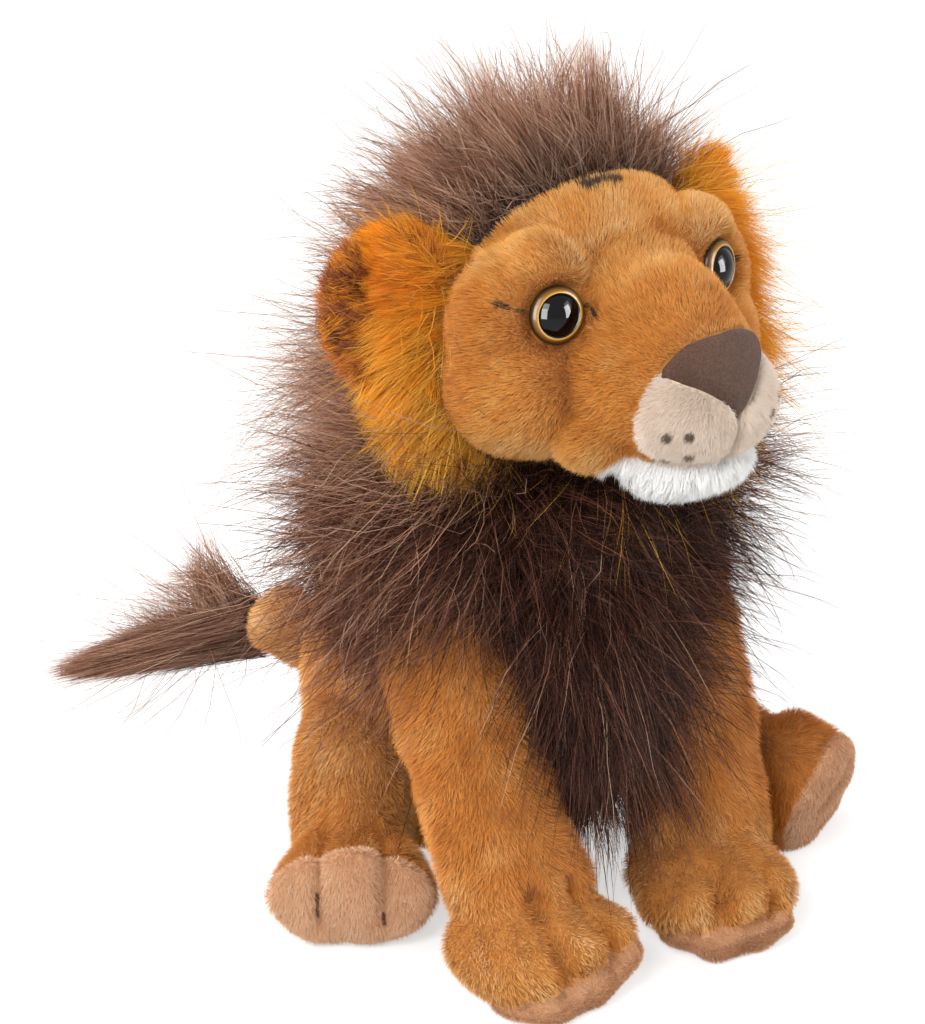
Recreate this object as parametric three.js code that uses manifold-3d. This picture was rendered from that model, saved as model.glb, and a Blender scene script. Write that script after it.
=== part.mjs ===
// A plush lion that sits upright with its head turned to its left, in millimetres with +Z up.
// It faces -Y, +X is its own left, and the origin is the middle of the flat patch it sits on.
import * as THREE from 'three';
import { mergeVertices } from 'three/addons/utils/BufferGeometryUtils.js';
import Module from 'manifold-3d';

const wasm = await Module();
wasm.setup();

// Gaps and walls that every piece shares.
const seamGap = 0.3;
const swingGap = 0.6;
const clothWall = 3.5;
const furWall = 4.5;
const flatCut = 0.5;
const reach = 700;

// Facets: sides round a form, rings between two stations of a form, rings in a rounded end.
const sidesFine = 14;
const sidesRuff = 12;
const sidesPlain = 10;
const sidesHidden = 8;
const ringSteps = 1;
const torsoSteps = 2;
const capSteps = 3;
const ballRows = 9;
const plainRows = 6;

// How far the front paws reach forward and the tail's tip backward from the middle of the seat.
const sitting = { pawReach: 114, tailReach: 152 };

// Torso stations from the seat to the shoulders: place, width across and depth.
const torso = {
  seatY: 1, seatZ: 26, seatWide: 96, seatDeep: 92, seatCap: 31,
  rumpY: 3, rumpZ: 50, rumpWide: 116, rumpDeep: 108,
  bellyY: -6, bellyZ: 84, bellyWide: 112, bellyDeep: 98,
  chestY: -26, chestZ: 114, chestWide: 96, chestDeep: 82,
  yokeY: -42, yokeZ: 126, yokeWide: 64, yokeDeep: 52, yokeCap: 7,
};

// Neck: a stuffed tube with a ball at each end, its lower ball bedded in the torso.
const neck = {
  y: -46, nodZ: 134, ballRadius: 19, tubeRadius: 15, topZ: 168, topRadius: 18, mouthShare: 0.6,
};

// Head form, about its own centre: x to its left, -y forward, z up.
// Places on it are shares of its half sizes, so that what is sewn to it follows it.
const head = {
  x: 0, y: -51, z: 194, turn: 12,
  wide: 106, deep: 100, tall: 100,
  cheekShares: [0.51, -0.48, -0.26], cheekSizeShares: [0.547, 0.58, 0.6],
  seamShare: -0.34,
};

// Muzzle stations from inside the face to the front, and where its panels part.
const muzzle = {
  rootShares: [0, -0.44, -0.12], rootWide: 60, rootTall: 56,
  bridgeShares: [0, -0.92, -0.24], bridgeWide: 56, bridgeTall: 50,
  frontShares: [0, -1.22, -0.28], frontWide: 53, frontTall: 44, frontCap: 21,
  lipShares: [0, -1.3, 0.06], lipLean: 17,
};
const chin = { centreShares: [0, -1.14, -0.68], wide: 46, deep: 38, tall: 24 };

// Nose patch: a padded triangle laid over the top of the muzzle's front.
const nose = {
  topShares: [0, -1.32, 0.12], wide: 41, high: 23, thick: 2.8, corner: 4, lean: 39, behind: 8, ahead: 16,
};

// Safety eyes: amber bezel on a shank, black pupil dome, lock washer behind the cloth.
const eye = {
  xShare: 0.613, zShare: 0.28, radius: 8.4, bezelThick: 2.4, pupilRadius: 5.9, pupilRise: 3.1,
  bevelShares: [0.93, 0.4, 0.8], recess: 0.9, shankRadius: 2.1, shankLength: 13,
  washerRadius: 6.5, washerThick: 1.6, washerBack: 5.5,
  sunk: 3, socketGap: 0.6, splay: 33, tilt: 7, cup: 5, cupDeep: 10,
};

// Ears: a rounded flap with a back panel and a thinner front lining.
const ear = {
  centreShares: [1.132, 0.06, 0.2], wide: 44, thick: 15, tall: 52, lean: 12, sweep: 24, lining: 5,
  hingeShares: [0.849, 0.06, 0],
};

// Cheek ruff: a crescent of long pile that follows the face seam down from the ear.
const ruff = {
  topShares: [0.811, -0.1, 0.66], topThick: 12,
  earShares: [1.019, -0.12, 0.12], earThick: 24,
  jawShares: [0.925, -0.18, -0.42], jawThick: 25,
  endShares: [0.547, -0.32, -0.82], endThick: 19, cap: 8,
};

// Mane: crown on the head, collar on the shoulders, bib on the chest.
const mane = {
  crownShares: [0, 0.18, 0.06], crownOut: 17, crownBack: 4, crownUp: 9,
  crownFrontShare: -0.08, crownBrowShare: -0.54, crownBottomShare: -0.76,
  collarLowY: -30, collarLowZ: 100, collarLowWide: 118, collarLowDeep: 104, collarLowCap: 14,
  collarMidY: -40, collarMidZ: 128, collarMidWide: 150, collarMidDeep: 126,
  collarTopY: -42, collarTopZ: 150, collarTopWide: 138, collarTopDeep: 118, collarTopCap: 12,
  bibTopY: -78, bibTopZ: 112, bibTopWide: 60, bibTopDeep: 30,
  bibMidY: -80, bibMidZ: 76, bibMidWide: 46, bibMidDeep: 28,
  bibLowY: -80, bibLowZ: 50, bibLowWide: 26, bibLowDeep: 18, bibCap: 12,
};

// Front legs: from the shoulder to the ankle, with a paw that points forward.
const frontLeg = {
  shoulderX: 34, shoulderY: -44, shoulderZ: 114, shoulderWide: 50, shoulderDeep: 58, shoulderCap: 22,
  upperWide: 50, upperDeep: 53, wristWide: 45, wristDeep: 45,
  ankleZ: 26, ankleWide: 46, ankleDeep: 44, ankleCap: 16, ankleBack: 15, elbowOut: 3,
  pawLength: 60, pawWide: 53, pawHeelWide: 47, pawTall: 35, pawCap: 15, soleThick: 5, soleRise: 16,
};
const frontPaws = { rightX: -36, rightBack: 0, leftX: 29, leftBack: 17 };

// Hind legs: thigh beside the rump, foot forward and outward with its sole to the front.
const hindLeg = {
  hipX: 30, hipY: 6, hipZ: 42, hipWide: 46, hipDeep: 58, hipCap: 16,
  thighX: 48, thighY: -10, thighZ: 42, thighWide: 46, thighDeep: 58,
  ankleBack: 27, ankleWide: 44, ankleDeep: 41, heelBack: 13, heelWide: 47, heelTall: 35,
  soleWide: 50, soleTall: 34, soleCap: 5, soleThick: 7,
};
// Where each hind sole lies, and how its foot is turned outward, dipped and rolled, in degrees.
const hindFeet = {
  right: { x: -76, y: -57, z: 16.5, splayAngle: 28, dipAngle: 0, rollAngle: 0 },
  left: { x: 93, y: -62, z: 17, splayAngle: 33, dipAngle: 22, rollAngle: 44 },
};

// Tail: a stuffed tube that rises from the rump, with a long tuft at its end.
const tail = {
  rootX: 2, rootY: 50, rootZ: 24, rootThick: 24, rootCap: 12,
  bendX: -14, bendShare: 0.196, bendZ: 35, bendThick: 24,
  knobX: -29, knobShare: 0.353, knobZ: 48, knobThick: 27, knobCap: 11, mouthShare: 0.62,
  tuftRootX: -39, tuftRootShare: 0.48, tuftRootZ: 43, tuftRootThick: 20,
  tuftX: -52, tuftShare: 0.667, tuftZ: 35, tuftThick: 33,
  tuftTipX: -74, tuftTipZ: 20, tuftTipThick: 9, tuftCap: 6,
};

// How far each part can be pressed before its filling stops it, in degrees.
const swing = {
  nodAngle: 8, frontBackAngle: 4, frontForwardAngle: 26, hindDownAngle: 3, hindUpAngle: 14,
  tailAngle: 22, earAngle: 14,
};

const colours = {
  body: 0xc98534, back: 0xb87428, ruff: 0xd8901f, ear: 0xa85518, lining: 0xd8901f,
  lips: 0xe5d3bf, chin: 0xededea, nose: 0x5a4138, mane: 0x4a2f2a, sole: 0xcf9a6a,
  filling: 0xf4f2ec, amber: 0xb5761c, pupil: 0x060606, washer: 0xe8e6df,
};

const vec = (x, y, z) => new THREE.Vector3(x, y, z);
const radians = THREE.MathUtils.degToRad;

// A smooth closed form through stations, each with a place, a width and a depth.
function stuffed(stations, caps, wideAxis, grow = 0, outerSides = sidesFine, steps = ringSteps) {
  const sides = grow < 0 ? sidesHidden : outerSides;
  const path = new THREE.CatmullRomCurve3(stations.map((s) => s.at));
  const sizes = new THREE.CatmullRomCurve3(stations.map((s) => vec(s.wide / 2, s.deep / 2, 0)));
  const rings = [];
  const addRing = (share, beyond, shrink) => {
    const along = path.getTangent(share).normalize();
    const across = wideAxis.clone().addScaledVector(along, -wideAxis.dot(along)).normalize();
    const up = along.clone().cross(across);
    const size = sizes.getPoint(share);
    const centre = path.getPoint(share).addScaledVector(along, beyond);
    const ring = [];
    for (let j = 0; j < sides; j += 1) {
      const turn = (2 * Math.PI * j) / sides;
      ring.push(centre.clone()
        .addScaledVector(across, (size.x + grow) * shrink * Math.cos(turn))
        .addScaledVector(up, (size.y + grow) * shrink * Math.sin(turn)));
    }
    rings.push(ring);
    return centre;
  };
  for (let k = capSteps - 1; k > 0; k -= 1) {
    const lean = (Math.PI / 2) * (k / capSteps);
    addRing(0, -(caps[0] + grow) * Math.sin(lean), Math.cos(lean));
  }
  const count = (stations.length - 1) * steps;
  for (let i = 0; i <= count; i += 1) addRing(i / count, 0, 1);
  for (let k = 1; k < capSteps; k += 1) {
    const lean = (Math.PI / 2) * (k / capSteps);
    addRing(1, (caps[1] + grow) * Math.sin(lean), Math.cos(lean));
  }
  const first = path.getPoint(0).addScaledVector(path.getTangent(0).normalize(), -(caps[0] + grow));
  const last = path.getPoint(1).addScaledVector(path.getTangent(1).normalize(), caps[1] + grow);
  const points = [first, ...rings.flat(), last];
  const faces = [];
  const at = (i, j) => 1 + i * sides + (j % sides);
  for (let j = 0; j < sides; j += 1) {
    faces.push(0, at(0, j + 1), at(0, j));
    faces.push(points.length - 1, at(rings.length - 1, j), at(rings.length - 1, j + 1));
    for (let i = 0; i < rings.length - 1; i += 1) {
      faces.push(at(i, j), at(i, j + 1), at(i + 1, j + 1));
      faces.push(at(i, j), at(i + 1, j + 1), at(i + 1, j));
    }
  }
  const geometry = new THREE.BufferGeometry();
  geometry.setAttribute('position', new THREE.Float32BufferAttribute(points.flatMap((p) => [p.x, p.y, p.z]), 3));
  geometry.setIndex(faces);
  return geometry;
}

const station = (x, y, z, wide, deep) => ({ at: vec(x, y, z), wide, deep });

// An ellipsoid from its centre and full sizes, grown on every side.
function egg(at, wide, deep, tall, grow = 0, sides = sidesFine, rows = ballRows) {
  const hidden = grow < 0;
  const ball = new THREE.SphereGeometry(1, hidden ? sidesHidden : sides, hidden ? plainRows : rows);
  ball.rotateX(Math.PI / 2);
  ball.scale(wide / 2 + grow, deep / 2 + grow, tall / 2 + grow);
  return ball.translate(at.x, at.y, at.z);
}

// Closed geometry to a solid that can be cut and joined, and back.
function solid(geometry) {
  const bare = new THREE.BufferGeometry();
  bare.setAttribute('position', geometry.getAttribute('position').clone());
  if (geometry.index) bare.setIndex(geometry.index.clone());
  const merged = mergeVertices(bare, seamGap / 1000);
  return new wasm.Manifold(new wasm.Mesh({
    numProp: 3,
    vertProperties: new Float32Array(merged.getAttribute('position').array),
    triVerts: new Uint32Array(merged.index.array),
  }));
}

function geometryOf(cut) {
  const mesh = cut.getMesh();
  const geometry = new THREE.BufferGeometry();
  geometry.setAttribute('position', new THREE.Float32BufferAttribute(mesh.vertProperties, 3));
  geometry.setIndex(new THREE.Uint32BufferAttribute(mesh.triVerts, 1));
  geometry.computeVertexNormals();
  return geometry;
}

// The half space on the far side of a plane through a point, as a large block.
function beyond(point, normal) {
  const block = new THREE.BoxGeometry(reach, reach, reach);
  block.translate(0, 0, reach / 2);
  const turn = new THREE.Quaternion().setFromUnitVectors(vec(0, 0, 1), normal.clone().normalize());
  block.applyQuaternion(turn);
  return solid(block.translate(point.x, point.y, point.z));
}

// A geometry turned about an axis through a point.
function turned(geometry, pivot, axis, degrees) {
  const turn = new THREE.Quaternion().setFromAxisAngle(axis, radians(degrees));
  return geometry.clone().translate(-pivot.x, -pivot.y, -pivot.z).applyQuaternion(turn)
    .translate(pivot.x, pivot.y, pivot.z);
}

// What a part must clear: the neighbour, turned the other way over the part's range.
function clearing(neighbour, pivot, axis, angles) {
  return angles.map((angle) => solid(turned(neighbour, pivot, axis, -angle)))
    .reduce((sum, next) => sum.add(next));
}

const across = vec(1, 0, 0);
const upward = vec(0, 0, 1);
const ground = beyond(vec(0, 0, 0), vec(0, 0, -1));

// Head frame: its own centre, turned to the lion's left.
const headPlace = new THREE.Matrix4().makeRotationZ(radians(head.turn))
  .setPosition(head.x, head.y, head.z);
const onHead = ([x, y, z], side = 1) =>
  vec((side * x * head.wide) / 2, (y * head.deep) / 2, (z * head.tall) / 2);
const toHead = (geometry) => geometry.clone().applyMatrix4(headPlace.clone().invert());
const toWorld = (geometry) => geometry.clone().applyMatrix4(headPlace);

// A station at shares of the head's half sizes.
const headStation = (shares, wide, deep, side = 1) => ({ at: onHead(shares, side), wide, deep });
const bothWays = (angle) => [-angle, -angle / 2, 0, angle / 2, angle];

const group = new THREE.Group();
const headGroup = new THREE.Group();
headGroup.position.set(head.x, head.y, head.z);
headGroup.rotation.z = radians(head.turn);
group.add(headGroup);

function place(name, cut, colour, roughness = 0.95, owner = group) {
  const material = new THREE.MeshStandardMaterial({ color: colour, roughness, metalness: 0 });
  const mesh = new THREE.Mesh(geometryOf(cut), material);
  mesh.name = name;
  owner.add(mesh);
}

// Torso: cover, filling and the bed for the neck's lower ball.
const torsoForm = (grow, sides = sidesFine) => stuffed([
  station(0, torso.seatY, torso.seatZ, torso.seatWide, torso.seatDeep),
  station(0, torso.rumpY, torso.rumpZ, torso.rumpWide, torso.rumpDeep),
  station(0, torso.bellyY, torso.bellyZ, torso.bellyWide, torso.bellyDeep),
  station(0, torso.chestY, torso.chestZ, torso.chestWide, torso.chestDeep),
  station(0, torso.yokeY, torso.yokeZ, torso.yokeWide, torso.yokeDeep),
], [torso.seatCap, torso.yokeCap], across, grow, sides, torsoSteps);

const neckForm = (grow) => {
  const outline = [];
  const rows = 3;
  const outside = grow > 0 ? 1 / Math.cos(Math.PI / sidesFine) : 1;
  const low = (neck.ballRadius + grow) * outside;
  const tube = (neck.tubeRadius + grow) * outside;
  const high = (neck.topRadius + grow) * outside;
  for (let i = 0; i <= rows; i += 1) {
    const lean = -Math.PI / 2 + (Math.PI / 2 + Math.acos(tube / low)) * (i / rows);
    outline.push(new THREE.Vector2(i ? low * Math.cos(lean) : 0, neck.nodZ + low * Math.sin(lean)));
  }
  for (let i = 0; i <= rows; i += 1) {
    const lean = -Math.acos(tube / high) + (Math.PI / 2 + Math.acos(tube / high)) * (i / rows);
    outline.push(new THREE.Vector2(i < rows ? high * Math.cos(lean) : 0, neck.topZ + high * Math.sin(lean)));
  }
  const lathe = new THREE.LatheGeometry(outline, sidesFine);
  return lathe.rotateX(Math.PI / 2).translate(0, neck.y, 0);
};

const neckPivot = vec(0, neck.y, neck.nodZ);
const neckBed = clearing(neckForm(swingGap), neckPivot, across, [-swing.nodAngle, 0, swing.nodAngle]);
const torsoSkin = solid(torsoForm(0)).subtract(ground);
const torsoHollow = solid(torsoForm(-clothWall)).subtract(beyond(vec(0, 0, clothWall), vec(0, 0, -1)));
const torsoFill = solid(torsoForm(-clothWall - seamGap))
  .subtract(beyond(vec(0, 0, clothWall + seamGap), vec(0, 0, -1)));
place('torso_cover', torsoSkin.subtract(torsoHollow).subtract(neckBed), colours.body);
place('torso_stuffing', torsoFill.subtract(neckBed), colours.filling);

// Neck: tube cover with its filling, closed by the filling at the top opening.
const neckMouth = beyond(vec(0, 0, neck.topZ + neck.topRadius * neck.mouthShare), upward);
const neckPlug = solid(neckForm(-clothWall));
place('neck_cover', solid(neckForm(0)).subtract(neckPlug).subtract(neckMouth), colours.back);
place('neck_stuffing', solid(neckForm(-clothWall - seamGap)).subtract(neckMouth), colours.filling);

// Head forms in the head's own frame.
const [cheekWide, cheekDeep, cheekTall] = head.cheekSizeShares;
const headForm = (grow, sides = sidesFine) => [
  egg(vec(0, 0, 0), head.wide, head.deep, head.tall, grow, sides),
  ...[-1, 1].map((side) => egg(onHead(head.cheekShares, side), head.wide * cheekWide,
    head.deep * cheekDeep, head.tall * cheekTall, grow, sidesPlain, plainRows)),
].map(solid).reduce((sum, next) => sum.add(next));
const muzzleForm = (grow) => solid(stuffed([
  headStation(muzzle.rootShares, muzzle.rootWide, muzzle.rootTall),
  headStation(muzzle.bridgeShares, muzzle.bridgeWide, muzzle.bridgeTall),
  headStation(muzzle.frontShares, muzzle.frontWide, muzzle.frontTall),
], [0, muzzle.frontCap], across, grow, sidesFine));

// Ears and what they clear as they fold about an upright line at their root.
const earForm = (side, grow) => {
  const flap = egg(vec(0, 0, 0), ear.wide, ear.thick, ear.tall, grow, sidesPlain, plainRows);
  flap.rotateY(radians(side * ear.lean)).rotateZ(radians(side * ear.sweep));
  const centre = onHead(ear.centreShares, side);
  return flap.translate(centre.x, centre.y, centre.z);
};
const earPivot = (side) => onHead(ear.hingeShares, side);
const earSweep = (side, grow) => bothWays(swing.earAngle)
  .map((angle) => solid(turned(earForm(side, grow), earPivot(side), upward, angle)))
  .reduce((sum, next) => sum.add(next));

// Eyes stand square to their socket, a little sunk in the pile.
function eyeFrame(side) {
  const facing = vec(side * Math.sin(radians(eye.splay)), -Math.cos(radians(eye.splay)),
    Math.tan(radians(eye.tilt))).normalize();
  const yShare = -Math.sqrt(1 - eye.xShare ** 2 - eye.zShare ** 2);
  const seat = onHead([eye.xShare, yShare, eye.zShare], side).addScaledVector(facing, -eye.sunk);
  const turn = new THREE.Quaternion().setFromUnitVectors(upward, facing);
  return (geometry) => geometry.applyQuaternion(turn).translate(seat.x, seat.y, seat.z);
}
function lathe(points, sides = sidesFine) {
  const outline = points.map(([r, z]) => new THREE.Vector2(r, z));
  return new THREE.LatheGeometry(outline, sides).rotateX(Math.PI / 2);
}
function dome(radius, rise, base, rows) {
  const curve = (radius * radius + rise * rise) / (2 * rise);
  const points = [];
  for (let i = 0; i <= rows; i += 1) {
    const r = radius * (1 - i / rows);
    points.push([r, base + Math.sqrt(curve * curve - r * r) - (curve - rise)]);
  }
  return points;
}
const [bevelWide, bevelLow, bevelHigh] = eye.bevelShares;
const bezelOutline = [
  [0, -eye.shankLength], [eye.shankRadius, -eye.shankLength], [eye.shankRadius, 0], [eye.radius, 0],
  [eye.radius, eye.bezelThick * bevelLow], [eye.radius * bevelWide, eye.bezelThick * bevelHigh],
  [eye.pupilRadius + seamGap, eye.bezelThick], [eye.pupilRadius + seamGap, eye.bezelThick - eye.recess],
  [0, eye.bezelThick - eye.recess],
];
const pupilBase = eye.bezelThick - eye.recess + seamGap / 3;
const pupilOutline = [[0, pupilBase], ...dome(eye.pupilRadius, eye.pupilRise, pupilBase, 3)];
const washerIn = eye.shankRadius + seamGap / 2;
const washerTop = -eye.washerBack;
const washerOutline = [
  [washerIn, washerTop - eye.washerThick], [eye.washerRadius, washerTop - eye.washerThick],
  [eye.washerRadius, washerTop], [washerIn, washerTop], [washerIn, washerTop - eye.washerThick],
];
const socketOutline = [
  [0, -seamGap], [eye.radius + eye.socketGap, -seamGap],
  [eye.radius + eye.socketGap + eye.cup, eye.cupDeep], [0, eye.cupDeep],
];
const shankRoom = [
  [0, -eye.shankLength - seamGap], [eye.shankRadius + seamGap, -eye.shankLength - seamGap],
  [eye.shankRadius + seamGap, 0], [0, 0],
];
const washerSeat = [
  [0, -eye.shankLength - seamGap], [eye.washerRadius + seamGap, -eye.shankLength - seamGap],
  [eye.washerRadius + seamGap, washerTop + seamGap], [0, washerTop + seamGap],
];
const washerRoom = [
  [0, -eye.shankLength - seamGap], [eye.radius + seamGap, -eye.shankLength - seamGap],
  [eye.radius + seamGap, eye.bezelThick], [0, eye.bezelThick],
];

// Head shells: face and back panels meet at the seam, and the muzzle pokes through the face.
const headSkin = headForm(0);
const headHollow = headForm(-furWall);
const headFillForm = headForm(-furWall - seamGap);
const headGrown = headForm(seamGap);
const muzzleSkin = muzzleForm(0);
const muzzleHollow = muzzleForm(-furWall);
const muzzleGrown = muzzleForm(seamGap);
const neckRoom = solid(toHead(neckForm(seamGap)));
const seamAt = onHead([0, head.seamShare, 0]);
const behindSeam = beyond(seamAt, vec(0, 1, 0));
const beforeSeam = beyond(seamAt.clone().add(vec(0, -seamGap, 0)), vec(0, -1, 0));
const torsoRoom = [-swing.nodAngle, 0, swing.nodAngle]
  .map((angle) => solid(toHead(turned(torsoForm(swingGap), neckPivot, across, angle))))
  .reduce((sum, next) => sum.add(next));

const headShell = headSkin.subtract(headHollow);
let face = headShell.intersect(beforeSeam).subtract(muzzleGrown);
let filling = headFillForm.add(muzzleForm(-furWall - seamGap)).subtract(neckRoom);
for (const side of [-1, 1]) {
  const seat = eyeFrame(side);
  face = face.subtract(solid(seat(lathe(socketOutline, sidesPlain))))
    .subtract(solid(seat(lathe(shankRoom, sidesPlain))))
    .subtract(solid(seat(lathe(washerSeat, sidesPlain))));
  filling = filling.subtract(solid(seat(lathe(washerRoom))));
}
place('face_panel', face.subtract(torsoRoom), colours.body, 0.95, headGroup);
place('head_back_panel', headShell.intersect(behindSeam).subtract(neckRoom).subtract(torsoRoom),
  colours.back, 0.95, headGroup);
place('head_stuffing', filling, colours.filling, 0.95, headGroup);

// Muzzle panels: golden bridge behind, cream lips in front, white chin below.
const muzzleShell = muzzleSkin.subtract(muzzleHollow).subtract(headHollow);
const chinForm = (grow) => solid(egg(onHead(chin.centreShares), chin.wide, chin.deep, chin.tall, grow));
const lipWay = vec(0, -1, -Math.tan(radians(muzzle.lipLean))).normalize();
const lipAt = onHead(muzzle.lipShares);
const lipFront = beyond(lipAt, lipWay);
const lipBack = beyond(lipAt.clone().addScaledVector(lipWay, -seamGap), lipWay.clone().negate());
const chinRoom = chinForm(seamGap);
place('muzzle_bridge', muzzleShell.intersect(lipBack).subtract(chinRoom), colours.body, 0.95, headGroup);
for (const [name, side] of [['lip_right', -1], ['lip_left', 1]]) {
  const half = beyond(vec((side * seamGap) / 2, 0, 0), vec(side, 0, 0));
  place(name, muzzleShell.intersect(lipFront).intersect(half).subtract(chinRoom),
    colours.lips, 0.95, headGroup);
}
place('chin_panel', chinForm(0).subtract(muzzleForm(-furWall)).subtract(headGrown),
  colours.chin, 0.95, headGroup);

// Nose patch: rounded triangle cut from a layer that lies on the muzzle.
const noseShape = new THREE.Shape();
const noseHalf = nose.wide / 2;
noseShape.moveTo(-noseHalf + nose.corner, 0);
noseShape.lineTo(noseHalf - nose.corner, 0);
noseShape.quadraticCurveTo(noseHalf, 0, noseHalf - nose.corner / 3, -nose.corner);
noseShape.lineTo(nose.corner / 2, -nose.high + nose.corner / 2);
noseShape.quadraticCurveTo(0, -nose.high, -nose.corner / 2, -nose.high + nose.corner / 2);
noseShape.lineTo(-noseHalf + nose.corner / 3, -nose.corner);
noseShape.quadraticCurveTo(-noseHalf, 0, -noseHalf + nose.corner, 0);
const noseDepth = nose.behind + nose.ahead;
const nosePrism = new THREE.ExtrudeGeometry(noseShape,
  { depth: noseDepth, bevelEnabled: false, curveSegments: 4 });
nosePrism.translate(0, 0, -nose.behind).rotateX(radians(90 - nose.lean));
const noseAt = onHead(nose.topShares);
nosePrism.translate(noseAt.x, noseAt.y, noseAt.z);
place('nose_patch', muzzleForm(seamGap + nose.thick).subtract(muzzleGrown).subtract(headGrown)
  .intersect(solid(nosePrism)), colours.nose, 0.85, headGroup);

// Eyes: bezel, pupil and washer, one set each side.
for (const [name, side] of [['right', -1], ['left', 1]]) {
  const seat = eyeFrame(side);
  place(`eye_bezel_${name}`, solid(seat(lathe(bezelOutline))), colours.amber, 0.15, headGroup);
  place(`eye_pupil_${name}`, solid(seat(lathe(pupilOutline))), colours.pupil, 0.05, headGroup);
  place(`eye_washer_${name}`, solid(seat(lathe(washerOutline, sidesPlain))), colours.washer, 0.5, headGroup);
}

// Ruffs: crescents of long pile that hug the cheeks beside the face seam.
const ruffForm = (side, grow) => solid(stuffed([
  headStation(ruff.topShares, ruff.topThick, ruff.topThick, side),
  headStation(ruff.earShares, ruff.earThick, ruff.earThick, side),
  headStation(ruff.jawShares, ruff.jawThick, ruff.jawThick, side),
  headStation(ruff.endShares, ruff.endThick, ruff.endThick, side),
], [ruff.cap, ruff.cap], vec(0, 1, 0), grow, sidesRuff));

for (const [name, side] of [['right', -1], ['left', 1]]) {
  const headRoom = bothWays(swing.earAngle).map((angle) => {
    const grown = geometryOf(headForm(swingGap));
    return solid(turned(grown, earPivot(side), upward, -angle));
  }).reduce((sum, next) => sum.add(next));
  const flap = solid(earForm(side, 0)).subtract(headRoom);
  const split = earForm(side, 0).translate(0, -ear.thick + ear.lining, 0);
  const splitGap = earForm(side, seamGap).translate(0, -ear.thick + ear.lining, 0);
  place(`ear_back_${name}`, flap.subtract(solid(splitGap)), colours.ear, 0.95, headGroup);
  place(`ear_lining_${name}`, flap.intersect(solid(split)), colours.lining, 0.95, headGroup);
  place(`ruff_${name}`, ruffForm(side, 0).subtract(headGrown).subtract(earSweep(side, swingGap)),
    colours.ruff, 0.95, headGroup);
}

// Front legs: how far back each paw lies, then the shin and the paw as one filled form.
const pawLine = (side) => (side < 0 ? frontPaws.rightBack : frontPaws.leftBack) - sitting.pawReach;
function frontForm(side, grow, sides = sidesFine) {
  const pawX = side < 0 ? frontPaws.rightX : frontPaws.leftX;
  const pawY = pawLine(side);
  const top = vec(side * frontLeg.shoulderX, frontLeg.shoulderY, frontLeg.shoulderZ);
  const foot = vec(pawX, pawY + frontLeg.ankleBack, frontLeg.ankleZ);
  const upperShare = 0.36;
  const wristShare = 0.8;
  const out = vec(side * frontLeg.elbowOut, 0, 0);
  const upper = top.clone().lerp(foot, upperShare).add(out);
  const wrist = top.clone().lerp(foot, wristShare).add(out);
  const shin = stuffed([
    { at: top, wide: frontLeg.shoulderWide, deep: frontLeg.shoulderDeep },
    { at: upper, wide: frontLeg.upperWide, deep: frontLeg.upperDeep },
    { at: wrist, wide: frontLeg.wristWide, deep: frontLeg.wristDeep },
    { at: foot, wide: frontLeg.ankleWide, deep: frontLeg.ankleDeep },
  ], [frontLeg.shoulderCap, frontLeg.ankleCap], across, grow, sides);
  const half = frontLeg.pawLength / 2 - frontLeg.pawCap;
  const low = frontLeg.pawTall / 2 - flatCut;
  const paw = stuffed([
    station(pawX, pawY + half, low, frontLeg.pawHeelWide, frontLeg.pawTall),
    station(pawX, pawY, low, frontLeg.pawWide, frontLeg.pawTall),
    station(pawX, pawY - half, low, frontLeg.pawHeelWide, frontLeg.pawTall),
  ], [frontLeg.pawCap, frontLeg.pawCap], across, grow, sides, 2);
  return [shin, paw];
}

// A hind foot's sole centre, the way it faces and the line of its width.
function hindSole(side) {
  const foot = side < 0 ? hindFeet.right : hindFeet.left;
  const splay = radians(foot.splayAngle);
  const dip = radians(foot.dipAngle);
  const level = Math.cos(dip);
  const facing = vec(side * Math.sin(splay) * level, -Math.cos(splay) * level, -Math.sin(dip));
  const width = vec(Math.cos(splay), side * Math.sin(splay), 0)
    .applyAxisAngle(facing, -side * radians(foot.rollAngle));
  return { centre: vec(foot.x, foot.y, foot.z), facing, width };
}

function hindForm(side, grow, sides = sidesFine) {
  const { centre, facing, width } = hindSole(side);
  const ankle = centre.clone().addScaledVector(facing, -hindLeg.ankleBack);
  const heel = centre.clone().addScaledVector(facing, -hindLeg.heelBack);
  return [stuffed([
    station(side * hindLeg.hipX, hindLeg.hipY, hindLeg.hipZ, hindLeg.hipWide, hindLeg.hipDeep),
    station(side * hindLeg.thighX, hindLeg.thighY, hindLeg.thighZ, hindLeg.thighWide, hindLeg.thighDeep),
    { at: ankle, wide: hindLeg.ankleWide, deep: hindLeg.ankleDeep },
    { at: heel, wide: hindLeg.heelWide, deep: hindLeg.heelTall },
    { at: centre, wide: hindLeg.soleWide, deep: hindLeg.soleTall },
  ], [hindLeg.hipCap, hindLeg.soleCap], width, grow, sides)];
}

const joined = (geometries) => geometries.map(solid).reduce((sum, next) => sum.add(next));

// A limb: plush cover, sole panel and filling, all trimmed by the torso over the limb's range.
function limb(name, form, pivot, angles, soleOf) {
  const room = clearing(torsoForm(swingGap), pivot, across, angles)
    .add(clearing(neckForm(swingGap * 3), pivot, across, angles));
  const skin = joined(form(0)).subtract(ground);
  const hollow = joined(form(-furWall));
  const fill = joined(form(-furWall - seamGap));
  const sole = soleOf(0);
  const soleRoom = soleOf(seamGap);
  place(`${name}_cover`, skin.subtract(hollow).subtract(soleRoom).subtract(room), colours.body);
  place(`${name}_stuffing`, fill.subtract(soleRoom).subtract(room)
    .subtract(beyond(vec(0, 0, seamGap), vec(0, 0, -1))), colours.filling);
  place(`${name}_sole`, skin.intersect(sole).subtract(room), colours.sole);
}

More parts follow.
